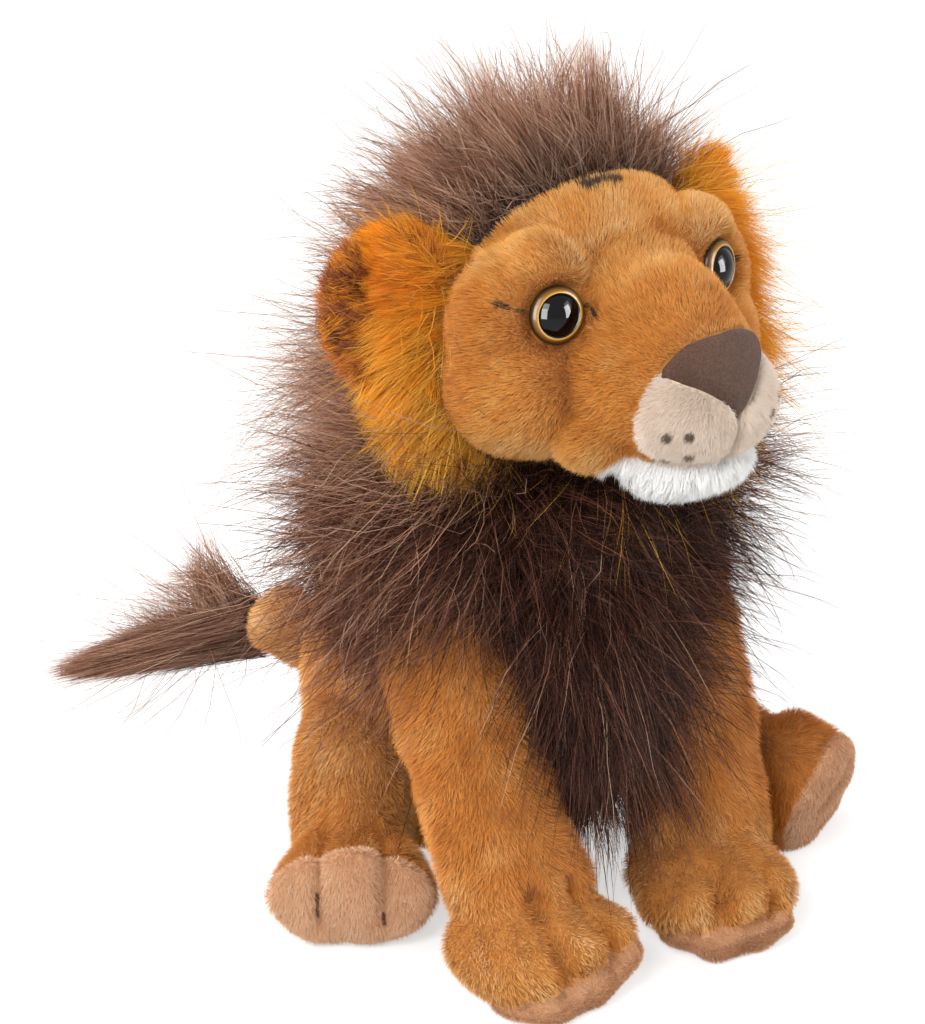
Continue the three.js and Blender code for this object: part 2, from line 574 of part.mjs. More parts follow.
for (const [name, side] of [['right', -1], ['left', 1]]) {
  const shoulder = vec(side * frontLeg.shoulderX, frontLeg.shoulderY, frontLeg.shoulderZ);
  const pawY = pawLine(side);
  const rise = vec(0, -frontLeg.soleRise / frontLeg.pawLength, -1);
  limb(`front_leg_${name}`, (grow) => frontForm(side, grow), shoulder,
    [swing.frontBackAngle, (swing.frontBackAngle - swing.frontForwardAngle) / 2, -swing.frontForwardAngle],
    (grow) => beyond(vec(0, pawY, frontLeg.soleThick + grow), rise));

  const hip = vec(side * hindLeg.hipX, hindLeg.hipY, hindLeg.hipZ);
  const { centre, facing } = hindSole(side);
  const front = centre.clone().addScaledVector(facing, hindLeg.soleCap - hindLeg.soleThick);
  limb(`hind_leg_${name}`, (grow) => hindForm(side, grow), hip,
    [swing.hindDownAngle, (swing.hindDownAngle - swing.hindUpAngle) / 2, -swing.hindUpAngle],
    (grow) => beyond(front.clone().addScaledVector(facing, -grow), facing));
}

// Tail: tube cover with filling, open where the tuft is sewn in.
const tailLine = (share) => tail.rootY + share * (sitting.tailReach - tail.rootY);
const tailForm = (grow) => solid(stuffed([
  station(tail.rootX, tail.rootY, tail.rootZ, tail.rootThick, tail.rootThick),
  station(tail.bendX, tailLine(tail.bendShare), tail.bendZ, tail.bendThick, tail.bendThick),
  station(tail.knobX, tailLine(tail.knobShare), tail.knobZ, tail.knobThick, tail.knobThick),
], [tail.rootCap, tail.knobCap], upward, grow));
const tailPivot = vec(tail.rootX, tail.rootY, tail.rootZ);
const tailRoom = clearing(torsoForm(swingGap), tailPivot, upward, bothWays(swing.tailAngle));
const knobAt = vec(tail.knobX, tailLine(tail.knobShare), tail.knobZ);
const tuftRootAt = vec(tail.tuftRootX, tailLine(tail.tuftRootShare), tail.tuftRootZ);
const tuftWay = tuftRootAt.clone().sub(knobAt);
const tuftAt = knobAt.clone()
  .addScaledVector(tuftWay.clone().normalize(), tail.knobCap * tail.mouthShare);
const tuftSide = beyond(tuftAt, tuftWay);
const tuftSideGap = beyond(tuftAt.clone().addScaledVector(tuftWay.clone().normalize(), -seamGap), tuftWay);
place('tail_cover', tailForm(0).subtract(tailForm(-clothWall)).subtract(tailRoom).subtract(tuftSideGap),
  colours.body);
place('tail_stuffing', tailForm(-clothWall - seamGap).subtract(tailRoom).subtract(tuftSideGap),
  colours.filling);
place('tail_tuft', solid(stuffed([
  { at: knobAt, wide: tail.tuftRootThick, deep: tail.tuftRootThick },
  { at: tuftRootAt, wide: tail.tuftRootThick, deep: tail.tuftRootThick },
  station(tail.tuftX, tailLine(tail.tuftShare), tail.tuftZ, tail.tuftThick, tail.tuftThick),
  station(tail.tuftTipX, sitting.tailReach, tail.tuftTipZ, tail.tuftTipThick, tail.tuftTipThick),
], [0, tail.tuftCap], upward, 0, sidesRuff)).intersect(tuftSide), colours.mane);

// Mane volumes, trimmed by everything that they lie on.
const limbsGrown = [-1, 1].map((side) => joined(frontForm(side, seamGap)))
  .reduce((sum, next) => sum.add(next));
const headWorld = (geometry) => solid(toWorld(geometry));
const headParts = [
  headWorld(geometryOf(headGrown)), headWorld(geometryOf(muzzleForm(seamGap + nose.thick))),
  headWorld(geometryOf(chinForm(seamGap))),
  ...[-1, 1].map((side) => headWorld(geometryOf(ruffForm(side, seamGap)))),
  ...[-1, 1].map((side) => headWorld(earForm(side, seamGap))),
].reduce((sum, next) => sum.add(next));
const torsoGrown = solid(torsoForm(seamGap));
const neckGrown = solid(neckForm(seamGap));

const collarForm = (grow) => solid(stuffed([
  station(0, mane.collarLowY, mane.collarLowZ, mane.collarLowWide, mane.collarLowDeep),
  station(0, mane.collarMidY, mane.collarMidZ, mane.collarMidWide, mane.collarMidDeep),
  station(0, mane.collarTopY, mane.collarTopZ, mane.collarTopWide, mane.collarTopDeep),
], [mane.collarLowCap, mane.collarTopCap], across, grow));
place('mane_collar', collarForm(0).subtract(torsoGrown).subtract(neckGrown).subtract(limbsGrown)
  .subtract(headParts), colours.mane);

const bibForm = (grow) => solid(stuffed([
  station(0, mane.bibTopY, mane.bibTopZ, mane.bibTopWide, mane.bibTopDeep),
  station(0, mane.bibMidY, mane.bibMidZ, mane.bibMidWide, mane.bibMidDeep),
  station(0, mane.bibLowY, mane.bibLowZ, mane.bibLowWide, mane.bibLowDeep),
], [0, mane.bibCap], across, grow, 16));
place('mane_bib', bibForm(0).subtract(torsoGrown).subtract(limbsGrown).subtract(collarForm(seamGap))
  .subtract(headParts), colours.mane);

// The crown lies behind a plane that leans from the brow down to the ears.
const crownBrow = onHead([0, mane.crownBrowShare, 1]);
const crownWay = onHead([0, mane.crownFrontShare, 0]).sub(crownBrow);
const crownFar = beyond(crownBrow, vec(0, -crownWay.z, crownWay.y));
const crownForm = solid(egg(onHead(mane.crownShares), head.wide + 2 * mane.crownOut,
  head.deep + 2 * mane.crownBack, head.tall + 2 * mane.crownUp));
const crownFoot = beyond(onHead([0, 0, mane.crownBottomShare]), vec(0, 0, -1));
const earsGrown = [-1, 1].map((side) => solid(earForm(side, seamGap))).reduce((sum, next) => sum.add(next));
const ruffsGrown = [-1, 1].map((side) => ruffForm(side, seamGap)).reduce((sum, next) => sum.add(next));
const collarRoom = solid(toHead(geometryOf(collarForm(seamGap))));
place('mane_crown', crownForm.intersect(crownFar).subtract(headGrown).subtract(earsGrown)
  .subtract(ruffsGrown).subtract(crownFoot).subtract(collarRoom)
  .subtract(torsoRoom).subtract(neckRoom), colours.mane, 0.95, headGroup);

export default group;
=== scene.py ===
import math
import bpy
import numpy as np
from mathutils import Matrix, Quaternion, Vector
from mathutils.bvhtree import BVHTree
from mathutils.kdtree import KDTree

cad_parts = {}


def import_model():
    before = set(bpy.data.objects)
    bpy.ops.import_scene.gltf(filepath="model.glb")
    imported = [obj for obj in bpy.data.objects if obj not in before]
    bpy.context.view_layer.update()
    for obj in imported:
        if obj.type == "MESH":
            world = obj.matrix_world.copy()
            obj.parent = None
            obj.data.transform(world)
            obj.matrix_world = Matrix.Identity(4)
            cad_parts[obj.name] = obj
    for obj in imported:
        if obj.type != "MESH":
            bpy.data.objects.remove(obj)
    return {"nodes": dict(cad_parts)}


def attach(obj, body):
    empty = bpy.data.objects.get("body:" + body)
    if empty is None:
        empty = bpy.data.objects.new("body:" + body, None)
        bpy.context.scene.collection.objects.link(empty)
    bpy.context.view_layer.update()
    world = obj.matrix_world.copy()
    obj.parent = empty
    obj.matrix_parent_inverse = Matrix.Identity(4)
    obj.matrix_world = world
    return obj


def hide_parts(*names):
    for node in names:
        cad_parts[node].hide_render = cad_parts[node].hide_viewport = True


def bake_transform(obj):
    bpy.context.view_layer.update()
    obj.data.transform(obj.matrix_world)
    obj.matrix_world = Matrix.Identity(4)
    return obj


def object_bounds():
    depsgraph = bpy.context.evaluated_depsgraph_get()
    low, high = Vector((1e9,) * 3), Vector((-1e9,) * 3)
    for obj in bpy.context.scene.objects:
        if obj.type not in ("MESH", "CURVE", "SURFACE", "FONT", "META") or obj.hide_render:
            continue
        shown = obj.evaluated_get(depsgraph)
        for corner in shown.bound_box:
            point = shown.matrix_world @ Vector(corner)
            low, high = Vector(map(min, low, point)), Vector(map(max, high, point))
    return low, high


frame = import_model()
CAD_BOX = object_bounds()

bl_info = {
    "name": "Seated Plush Lion",
    "version": (1, 0, 0),
    "blender": (4, 5, 0),
    "location": "View3D > Sidebar > Plush",
    "description": "Sews the skins, pile, mane and face of a seated plush lion over its packed frame",
    "category": "Object",
}

MM = 0.001
ACROSS = np.array([1.0, 0.0, 0.0])
UP = np.array([0.0, 0.0, 1.0])
DOWN = -UP
SIDES = (("right", -1), ("left", 1))

# The head's own frame: centre and half sizes in millimetres, turned to the lion's left.
HEAD_AT = np.array([0.0, -51.0, 194.0])
HEAD_TURN = math.radians(12)
HEAD_HALF = np.array([53.0, 50.0, 50.0])
JAW = [((0, -24, -8), 70, 46), ((0, -42, -9), 65, 44), ((0, -53, -12), 57, 39), ((0, -61, -14), 49, 35)]
BRIDGE = [((0, -28, 9), 42, 36), ((0, -43, 3), 45, 39), ((0, -55, -5), 44, 38), ((0, -60, -9), 43, 33)]
CHEEK = ((28, -21, -10.5), (24.5, 23.5, 22.5))
JOWL = ((21, -42, -23), (13.0, 13.0, 11.0))
TEMPLE = ((33, -19, 6), (19.0, 17.0, 22.0))
BROW = ((27.5, -26, 22), (13.5, 12.0, 11.0))
LIP_AT = np.array([0.0, -65.0, 3.0])
LIP_WAY = np.array([0.0, -math.cos(math.radians(4)), -math.sin(math.radians(4))])
CHIN_AT = np.array([0.0, -55.0, -32.0])
CHIN_HALF = np.array([23.0, 18.0, 11.0])
SEAM_Y = -17.0
SEAM_BOW = 9.0
NOSE_AT = np.array([0.0, -66.0, 6.0])
NOSE_LEAN = math.radians(51)
NOSE_DOWN = np.array([0.0, -math.cos(NOSE_LEAN), -math.sin(NOSE_LEAN)])
NOSE_OUT = np.array([0.0, -math.sin(NOSE_LEAN), math.cos(NOSE_LEAN)])
NOSE_TALL = 23.0
NOSE_RISE = 0.07
NOSE_HALF = [(-0.2, 0.0), (0.0, 10.5), (1.2, 14.2), (3.2, 17.4), (5.4, 18.3), (10.0, 14.6), (20.8, 3.0), (23.0, 0.0)]
EYE_AT = np.array([30.9, -34.6, 11.8])
EYE_SPLAY = math.radians(17)
EYE_TILT = math.radians(6)
EYE_RADIUS = 8.4
PUPIL_RADIUS = 6.35
PUPIL_RISE = 2.9
LEFT_EYE_SHIFT = np.array([0.6, 0.0, 1.8])


# ---- small maths ----

def unit(v):
    """Vectors scaled to length one."""
    v = np.asarray(v, float)
    return v / np.maximum(np.linalg.norm(v, axis=-1, keepdims=True), 1e-9)


def linear(colour):
    """A hex colour as linear RGBA."""
    channels = [(colour >> shift & 255) / 255 for shift in (16, 8, 0)]
    return [c / 12.92 if c <= 0.04045 else ((c + 0.055) / 1.055) ** 2.4 for c in channels] + [1.0]


def bell(distance, width):
    """A smooth bump that is 1 at no distance and fades over the width."""
    return np.exp(-0.5 * (np.asarray(distance) / width) ** 2)


def ramp(value, low, high):
    """A smooth step from 0 at low to 1 at high."""
    t = np.clip((np.asarray(value, float) - low) / (high - low), 0, 1)
    return t * t * (3 - 2 * t)


def ripple(points, size, seed):
    """Smooth noise between about -1 and 1, with features of the given size."""
    rng = np.random.default_rng(seed)
    total = np.zeros(len(points))
    for _ in range(7):
        wave = unit(rng.normal(size=3)) * (2 * math.pi / size) * rng.uniform(0.6, 1.5)
        total += np.sin(points @ wave + rng.uniform(0, 2 * math.pi))
    return total / 3.0


def drift(points, size, seeds):
    """Three ripples as the parts of a wandering direction."""
    return np.stack([ripple(points, size, seed) for seed in seeds], 1)


def turn_out(vectors):
    """Directions in the head's frame as world directions."""
    v = np.asarray(vectors, float)
    c, s = math.cos(HEAD_TURN), math.sin(HEAD_TURN)
    return np.stack([v[..., 0] * c - v[..., 1] * s, v[..., 0] * s + v[..., 1] * c, v[..., 2]], -1)


def to_world(points):
    """Places in the head's frame as world places."""
    return turn_out(points) + HEAD_AT


# ---- forms ----

def catmull(points, shares):
    """A smooth line through points, at shares of its length."""
    p = np.asarray(points, float)
    ends = np.vstack([2 * p[0] - p[1], p, 2 * p[-1] - p[-2]])
    out = np.empty((len(shares), 3))
    for k, share in enumerate(shares):
        s = share * (len(p) - 1)
        i = min(int(s), len(p) - 2)
        w = s - i
        a, b, c, d = ends[i:i + 4]
        first, mid, last = (max(np.linalg.norm(q - r), 1e-6) ** 0.5 for q, r in ((a, b), (b, c), (c, d)))
        t1 = ((b - a) / first - (c - a) / (first + mid) + (c - b) / mid) * mid
        t2 = ((c - b) / mid - (d - b) / (mid + last) + (d - c) / last) * mid
        out[k] = b + t1 * w + (3 * (c - b) - 2 * t1 - t2) * w ** 2 + (2 * (b - c) + t1 + t2) * w ** 3
    return out


def stuffed(stations, caps, wide_axis, inset=0.0, sides=44, steps=9, cap_rows=8):
    """A closed round form through stations of place, width and depth."""
    at = [s[0] for s in stations]
    count = (len(stations) - 1) * steps
    shares = np.linspace(0, 1, count + 1)
    centre = catmull(at, shares)
    sizes = catmull([(s[1] / 2, s[2] / 2, 0) for s in stations], shares)
    ahead = catmull(at, np.minimum(shares + 1e-4, 1)) - catmull(at, np.maximum(shares - 1e-4, 0))
    along = unit(ahead)
    rows = []
    for k in range(cap_rows - 1, 0, -1):
        lean = math.pi / 2 * k / cap_rows
        rows.append((0, -(caps[0] - inset) * math.sin(lean), math.cos(lean)))
    rows += [(i, 0.0, 1.0) for i in range(count + 1)]
    for k in range(1, cap_rows):
        lean = math.pi / 2 * k / cap_rows
        rows.append((count, (caps[1] - inset) * math.sin(lean), math.cos(lean)))
    turns = np.linspace(0, 2 * math.pi, sides, endpoint=False)
    verts = []
    for i, shift, shrink in rows:
        side = unit(wide_axis - along[i] * np.dot(wide_axis, along[i]))
        up = np.cross(along[i], side)
        middle = centre[i] + along[i] * shift
        verts.append(middle + shrink * (np.outer(np.cos(turns), side) * (sizes[i, 0] - inset)
                                        + np.outer(np.sin(turns), up) * (sizes[i, 1] - inset)))
    first = centre[0] - along[0] * (caps[0] - inset)
    last = centre[-1] + along[-1] * (caps[1] - inset)
    points = np.vstack([first[None], *verts, last[None]])
    faces = []
    for i in range(len(rows) - 1):
        for j in range(sides):
            a, b = 1 + i * sides + j, 1 + i * sides + (j + 1) % sides
            faces.append((a, b, b + sides, a + sides))
    end = len(points) - 1
    base = 1 + (len(rows) - 1) * sides
    faces += [(0, 1 + (j + 1) % sides, 1 + j) for j in range(sides)]
    faces += [(end, base + j, base + (j + 1) % sides) for j in range(sides)]
    return points, faces


def egg(centre, half, sides=48, rows=32):
    """A closed ellipsoid."""
    points = [np.array([0, 0, 1.0])]
    for i in range(1, rows):
        lean = math.pi * i / rows
        turns = np.linspace(0, 2 * math.pi, sides, endpoint=False)
        points += list(np.stack([np.cos(turns) * math.sin(lean), np.sin(turns) * math.sin(lean),
                                 np.full(sides, math.cos(lean))], 1))
    points.append(np.array([0, 0, -1.0]))
    faces = [(0, 1 + j, 1 + (j + 1) % sides) for j in range(sides)]
    for i in range(rows - 2):
        for j in range(sides):
            a, b = 1 + i * sides + j, 1 + i * sides + (j + 1) % sides
            faces.append((a, a + sides, b + sides, b))
    end = len(points) - 1
    base = 1 + (rows - 2) * sides
    faces += [(end, base + (j + 1) % sides, base + j) for j in range(sides)]
    return np.array(points) * np.asarray(half) + np.asarray(centre), faces


def raw_object(name, verts, faces):
    """An object from places in millimetres, in the scene."""
    mesh = bpy.data.meshes.new(name)
    mesh.from_pydata((np.asarray(verts) * MM).tolist(), [], [tuple(int(i) for i in f) for f in faces])
    mesh.update()
    obj = bpy.data.objects.new(name, mesh)
    bpy.context.scene.collection.objects.link(obj)
    return obj


def mesh_arrays(mesh):
    """The places in millimetres and the four-sided faces of a mesh."""
    verts = np.empty(len(mesh.vertices) * 3)
    mesh.vertices.foreach_get("co", verts)
    corners = np.empty(len(mesh.loops), int)
    mesh.loops.foreach_get("vertex_index", corners)
    return verts.reshape(-1, 3) / MM, corners.reshape(-1, 4)


def one_skin(shells, voxel, rounds):
    """One closed cloth surface round overlapping shells."""
    verts, faces, start = [], [], 0
    for points, shell_faces in shells:
        verts.append(points)
        faces += [tuple(i + start for i in f) for f in shell_faces]
        start += len(points)
    obj = raw_object("pattern", np.vstack(verts), faces)
    cut = obj.modifiers.new("Cut", "REMESH")
    cut.mode = "VOXEL"
    cut.voxel_size = voxel * MM
    sewn = bpy.data.meshes.new_from_object(obj.evaluated_get(bpy.context.evaluated_depsgraph_get()))
    points, quads = mesh_arrays(sewn)
    old = obj.data
    bpy.data.objects.remove(obj)
    bpy.data.meshes.remove(old)
    bpy.data.meshes.remove(sewn)
    return relax(points, quads, rounds), quads


def relax(verts, quads, rounds):
    """Evens a skin out without shrinking it."""
    a = quads.ravel()
    b = quads[:, [1, 2, 3, 0]].ravel()
    n = len(verts)
    count = np.maximum(np.bincount(a, minlength=n), 1)[:, None]
    verts = verts.copy()
    for k in range(rounds * 2):
        near = np.stack([np.bincount(a, weights=verts[b, i], minlength=n) for i in range(3)], 1) / count
        step = (near - verts) * (0.6 if k % 2 == 0 else -0.58)
        verts += step
    return verts


def normals_of(verts, quads):
    """A skin's outward direction at each of its points."""
    face = np.cross(verts[quads[:, 2]] - verts[quads[:, 0]], verts[quads[:, 3]] - verts[quads[:, 1]])
    total = np.zeros_like(verts)
    for corner in range(4):
        for axis in range(3):
            total[:, axis] += np.bincount(quads[:, corner], weights=face[:, axis], minlength=len(verts))
    return unit(total)


def puff(verts, quads, pinned, pressure, cap, frames=16):
    """Fills a skin: a cloth simulation under pressure, held at its stitched places."""
    obj = raw_object("filled", verts, quads)
    group = obj.vertex_groups.new(name="stitches")
    for i in np.nonzero(pinned > 0.02)[0]:
        group.add([int(i)], float(pinned[i]), "REPLACE")
    cloth = obj.modifiers.new("Cloth", "CLOTH")
    cloth.settings.quality = 4
    cloth.settings.mass = 0.15
    cloth.settings.tension_stiffness = 12
    cloth.settings.compression_stiffness = 12
    cloth.settings.shear_stiffness = 6
    cloth.settings.bending_stiffness = 0.4
    cloth.settings.use_pressure = True
    cloth.settings.uniform_pressure_force = pressure
    cloth.settings.vertex_group_mass = "stitches"
    cloth.settings.pin_stiffness = 4
    cloth.settings.effector_weights.gravity = 0
    cloth.collision_settings.use_collision = False
    scene = bpy.context.scene
    for step in range(1, frames + 1):
        scene.frame_set(step)
    filled = bpy.data.meshes.new_from_object(obj.evaluated_get(bpy.context.evaluated_depsgraph_get()))
    moved = mesh_arrays(filled)[0] - verts
    scene.frame_set(1)
    old = obj.data
    bpy.data.objects.remove(obj)
    bpy.data.meshes.remove(old)
    bpy.data.meshes.remove(filled)
    far = np.linalg.norm(moved, axis=1, keepdims=True)
    return verts + moved * np.minimum(1, cap / np.maximum(far, 1e-6))


# ---- strands ----

# How many fibres each pile or lock of hair is drawn with.
FIBRES = {"face": 58000, "lip": 17000, "chin": 14000, "body": 66000, "front leg": 62000, "front sole": 14000,
          "hind leg": 54000, "hind sole": 16000, "tail": 18000, "tuft": 16000, "ear back": 13000, "ear front": 11000,
          "ruff": 12000, "ruff seam": 11500, "crown": 20000, "collar": 21000, "bib": 19000}
# How short pile and the soles' nap stand.
SHORT_PILE = {"rise": 0.62, "bend": 0.4, "wander": 0.14, "parts": 2, "tone_spread": 0.045}
SOLE_NAP = {"width": 0.22, "rise": 0.55, "bend": 0.3, "wander": 0.14, "parts": 2, "tone_spread": 0.05, "floor": 0.1}

def scatter(skin, count, seed, weight=None):
    """Random places on a skin with their outward directions."""
    verts, quads, normals = skin
    rng = np.random.default_rng(seed)
    tris = np.vstack([quads[:, [0, 1, 2]], quads[:, [0, 2, 3]]])
    corner = verts[tris]
    area = np.linalg.norm(np.cross(corner[:, 1] - corner[:, 0], corner[:, 2] - corner[:, 0]), axis=1)
    if weight is not None:
        area = area * np.clip(weight(corner.mean(1)), 0, 1)
    sums = np.cumsum(area)
    pick = np.searchsorted(sums, rng.uniform(0, sums[-1], count))
    pick = np.minimum(pick, len(tris) - 1)
    a, b = rng.uniform(size=(2, count, 1))
    flip = a + b > 1
    a, b = np.where(flip, 1 - a, a), np.where(flip, 1 - b, b)
    share = np.concatenate([1 - a - b, a, b], 1)[:, :, None]
    places = (corner[pick] * share).sum(1)
    return places, unit((normals[tris[pick]] * share).sum(1))


def clumped(lines, cell, pull, seed):
    """Draws strands toward a neighbour, so that they stand in locks."""
    rng = np.random.default_rng(seed)
    roots = lines[:, 0]
    spread = np.ptp(roots, axis=0)
    rough_area = 2 * (spread[0] * spread[1] + spread[1] * spread[2] + spread[0] * spread[2]) * 0.6
    seeds = rng.choice(len(lines), max(2, min(len(lines), int(rough_area / cell ** 2))), replace=False)
    tree = KDTree(len(seeds))
    for i, s in enumerate(seeds):
        tree.insert(roots[s], i)
    tree.balance()
    near = np.fromiter((tree.find(r)[1] for r in roots), int, len(roots))
    lead = seeds[near]
    share = np.linspace(0, 1, lines.shape[1])[None, :, None] ** 1.2
    strength = (pull * rng.beta(2.2, 1.1, len(lines)) * 1.3)[:, None, None]
    return lines + (lines[lead] - lines) * share * np.minimum(strength, 0.97)


def strands(name, places, normals, material, *, length, width, flow, rise=0.6, bend=0.6, droop=0.0,
            wander=0.2, cell=0.0, pull=0.0, parts=2, tone=0.5, tone_spread=0.12, stray=0.0, curl=0.0,
            seed=1, floor=None, taper=0.75, uneven=0.0, tuft=0.0, least=0.12):
    """Pile or long hair as flat tapered ribbons, as one object."""
    rng = np.random.default_rng(seed)
    n = len(places)
    flow = np.asarray(flow, float) * np.ones((n, 1))
    flow = unit(flow - normals * (flow * normals).sum(1, keepdims=True))
    length = np.asarray(length, float) * np.ones(n) * rng.uniform(0.75, 1.12, n)
    rise = np.asarray(rise, float) * np.ones(n)
    loose = rng.uniform(size=n) < stray
    length = length * np.where(loose, 1, 1 - uneven * (1 - rng.uniform(size=n) ** 1.8))
    way = normals * rise[:, None] + flow * (1 - rise)[:, None] + rng.normal(size=(n, 3)) * wander
    way += rng.normal(size=(n, 3)) * np.where(loose, 0.45, 0)[:, None]
    under = (way * normals).sum(1, keepdims=True)
    way = unit(way + normals * np.maximum(least - under, 0))
    length = length * np.where(loose, rng.uniform(1.1, 1.7, n), 1)
    lines = np.empty((n, parts + 1, 3))
    lines[:, 0] = places
    phase = rng.uniform(0, 2 * math.pi, (n, 1))
    twist = unit(np.cross(way, rng.normal(size=(n, 3))))
    for k in range(parts):
        way = unit(way + (flow * bend + DOWN * droop) / parts * (0.4 + 1.2 * k / parts)
                   + twist * np.sin(phase + k * 2.1) * curl)
        lines[:, k + 1] = lines[:, k] + way * (length / parts)[:, None]
    if tuft:
        lines = clumped(lines, tuft, 0.5, seed + 8)
    if cell:
        lines = np.where(loose[:, None, None], lines, clumped(lines, cell, pull, seed + 7))
    low, high = (np.array(c) / MM for c in CAD_BOX)
    room = (high - low) * 0.03 + 9.0
    reach = lines - lines[:, :1]
    roots = lines[:, :1]
    over = np.maximum((lines - (high + room)) / (high + room - roots), (low - room - lines) / (roots - low + room))
    lines = lines[:, :1] + reach / (1 + np.maximum(over, 0).max(axis=(1, 2)))[:, None, None]
    if floor is not None:
        lines[..., 2] = np.maximum(lines[..., 2], floor)
    return ribbons(name, lines, normals, width, tone, tone_spread, rng, material, taper)


def ribbons(name, lines, normals, width, tone, tone_spread, rng, material, taper=0.75):
    """The mesh of flat tapered ribbons along lines, coloured by tone and by place along the line."""
    n, rows = lines.shape[0], lines.shape[1]
    parts = rows - 1
    along = unit(lines[:, -1] - lines[:, 0])
    side = unit(np.cross(along, normals) + rng.normal(size=(n, 3)) * 0.35)
    half = 0.5 * width * rng.uniform(0.75, 1.2, (n, 1))
    verts = np.empty((n, 2 * parts + 1, 3))
    for k in range(parts):
        w = half * (1 - (k / parts) ** 1.5 * taper)
        verts[:, 2 * k] = lines[:, k] - side * w
        verts[:, 2 * k + 1] = lines[:, k] + side * w
    verts[:, -1] = lines[:, -1]
    pattern = []
    for k in range(parts - 1):
        a = 2 * k
        pattern += [a, a + 1, a + 3, a, a + 3, a + 2]
    a = 2 * (parts - 1)
    pattern += [a, a + 1, a + 2]
    pattern = np.array(pattern)
    index = (np.arange(n)[:, None] * (2 * parts + 1) + pattern[None]).ravel()
    tone = np.asarray(tone, float) * np.ones(n) + rng.normal(size=n) * tone_spread
    marks = np.asarray(tone < -0.5)
    tone = np.clip(tone, 0.03, 0.97)
    tone[marks] = 0.01
    row_of = np.minimum(np.arange(2 * parts + 1) // 2, parts) / parts
    shift = np.where(np.arange(2 * parts + 1) % 2 == 0, -0.006, 0.006)
    shift[-1] = 0.0
    u = np.clip(tone[:, None] + shift[None], 0.002, 0.998)
    uv = np.stack([u, np.broadcast_to(0.01 + 0.98 * row_of, u.shape)], -1)
    mesh = bpy.data.meshes.new(name)
    mesh.vertices.add(n * (2 * parts + 1))
    mesh.vertices.foreach_set("co", (verts * MM).ravel())
    mesh.loops.add(len(index))
    mesh.loops.foreach_set("vertex_index", index)
    mesh.polygons.add(len(index) // 3)
    mesh.polygons.foreach_set("loop_start", np.arange(0, len(index), 3))
    layer = mesh.uv_layers.new(name="OFBake")
    layer.data.foreach_set("uv", uv.reshape(-1, 2)[index].ravel())
    mesh.update()
    mesh.materials.append(material)
    obj = bpy.data.objects.new(name, mesh)
    bpy.context.scene.collection.objects.link(obj)
    return obj


def tree_of(skin):
    """A skin as a tree that answers which of its points is nearest."""
    verts, quads = skin[0], skin[1]
    return BVHTree.FromPolygons(verts.tolist(), quads.tolist())


def depth_in(tree, points, reach=60.0):
    """How far each point lies outside a skin; negative inside."""
    out = np.full(len(points), reach)
    for i, p in enumerate(points):
        hit = tree.find_nearest(p, reach)
        if hit[0] is not None:
            away = Vector(p) - hit[0]
            out[i] = math.copysign(hit[3], away.dot(hit[1]))
    return out


# ---- finishes ----

def new_material(name):
    """An empty material with its output node."""
    material = bpy.data.materials.new(name)
    material.use_nodes = True
    tree = material.node_tree
    tree.nodes.clear()
    out = tree.nodes.new("ShaderNodeOutputMaterial")
    return material, tree, out


def add_ramp(tree, socket, stops):
    """A colour ramp fed by a socket."""
    node = tree.nodes.new("ShaderNodeValToRGB")
    while len(node.color_ramp.elements) > 1:
        node.color_ramp.elements.remove(node.color_ramp.elements[-1])
    for i, (place, colour) in enumerate(stops):
        stop = node.color_ramp.elements[0] if i == 0 else node.color_ramp.elements.new(place)
        stop.position = place
        stop.color = colour if isinstance(colour, (list, tuple)) else linear(colour)
    tree.links.new(socket, node.inputs["Fac"])
    return node.outputs["Color"]


def multiplied(tree, first, second):
    """Two colour sockets multiplied."""
    node = tree.nodes.new("ShaderNodeMix")
    node.data_type = "RGBA"
    node.blend_type = "MULTIPLY"
    node.inputs[0].default_value = 1.0
    tree.links.new(first, node.inputs[6])
    tree.links.new(second, node.inputs[7])
    return node.outputs[2]


def grey(level):
    """A grey as linear RGBA."""
    return (level, level, level, 1.0)


def pile_material(name, tones, root=0.45, tip=1.1, roughness=0.7, through=0.25, sheen=0.15, shine=0.3):
    """Fibre: its colour runs with the strand's tone, darkened toward the root as painted shade deep in the pile and
    lightened toward the tip as painted light.
    """
    material, tree, out = new_material(name)
    uv = tree.nodes.new("ShaderNodeUVMap")
    uv.uv_map = "OFBake"
    parts = tree.nodes.new("ShaderNodeSeparateXYZ")
    tree.links.new(uv.outputs["UV"], parts.inputs["Vector"])
    base = add_ramp(tree, parts.outputs["X"], tones)
    # Painted shade and light along each strand: darker at the root, deep in the pile, and lighter at the tip.
    shade = add_ramp(tree, parts.outputs["Y"],
                     [(0.0, grey(root)), (0.45, grey((root + 1) / 2)), (0.8, grey(1.0)), (1.0, grey(tip))])
    colour = multiplied(tree, base, shade)
    fibre = tree.nodes.new("ShaderNodeBsdfPrincipled")
    fibre.inputs["Roughness"].default_value = roughness
    fibre.inputs["Sheen Weight"].default_value = sheen
    fibre.inputs["Sheen Roughness"].default_value = 0.4
    fibre.inputs["Specular IOR Level"].default_value = shine
    tree.links.new(colour, fibre.inputs["Base Color"])
    glow = tree.nodes.new("ShaderNodeBsdfTranslucent")
    tree.links.new(colour, glow.inputs["Color"])
    mix = tree.nodes.new("ShaderNodeMixShader")
    mix.inputs[0].default_value = through
    tree.links.new(fibre.outputs[0], mix.inputs[1])
    tree.links.new(glow.outputs[0], mix.inputs[2])
    tree.links.new(mix.outputs[0], out.inputs["Surface"])
    return material


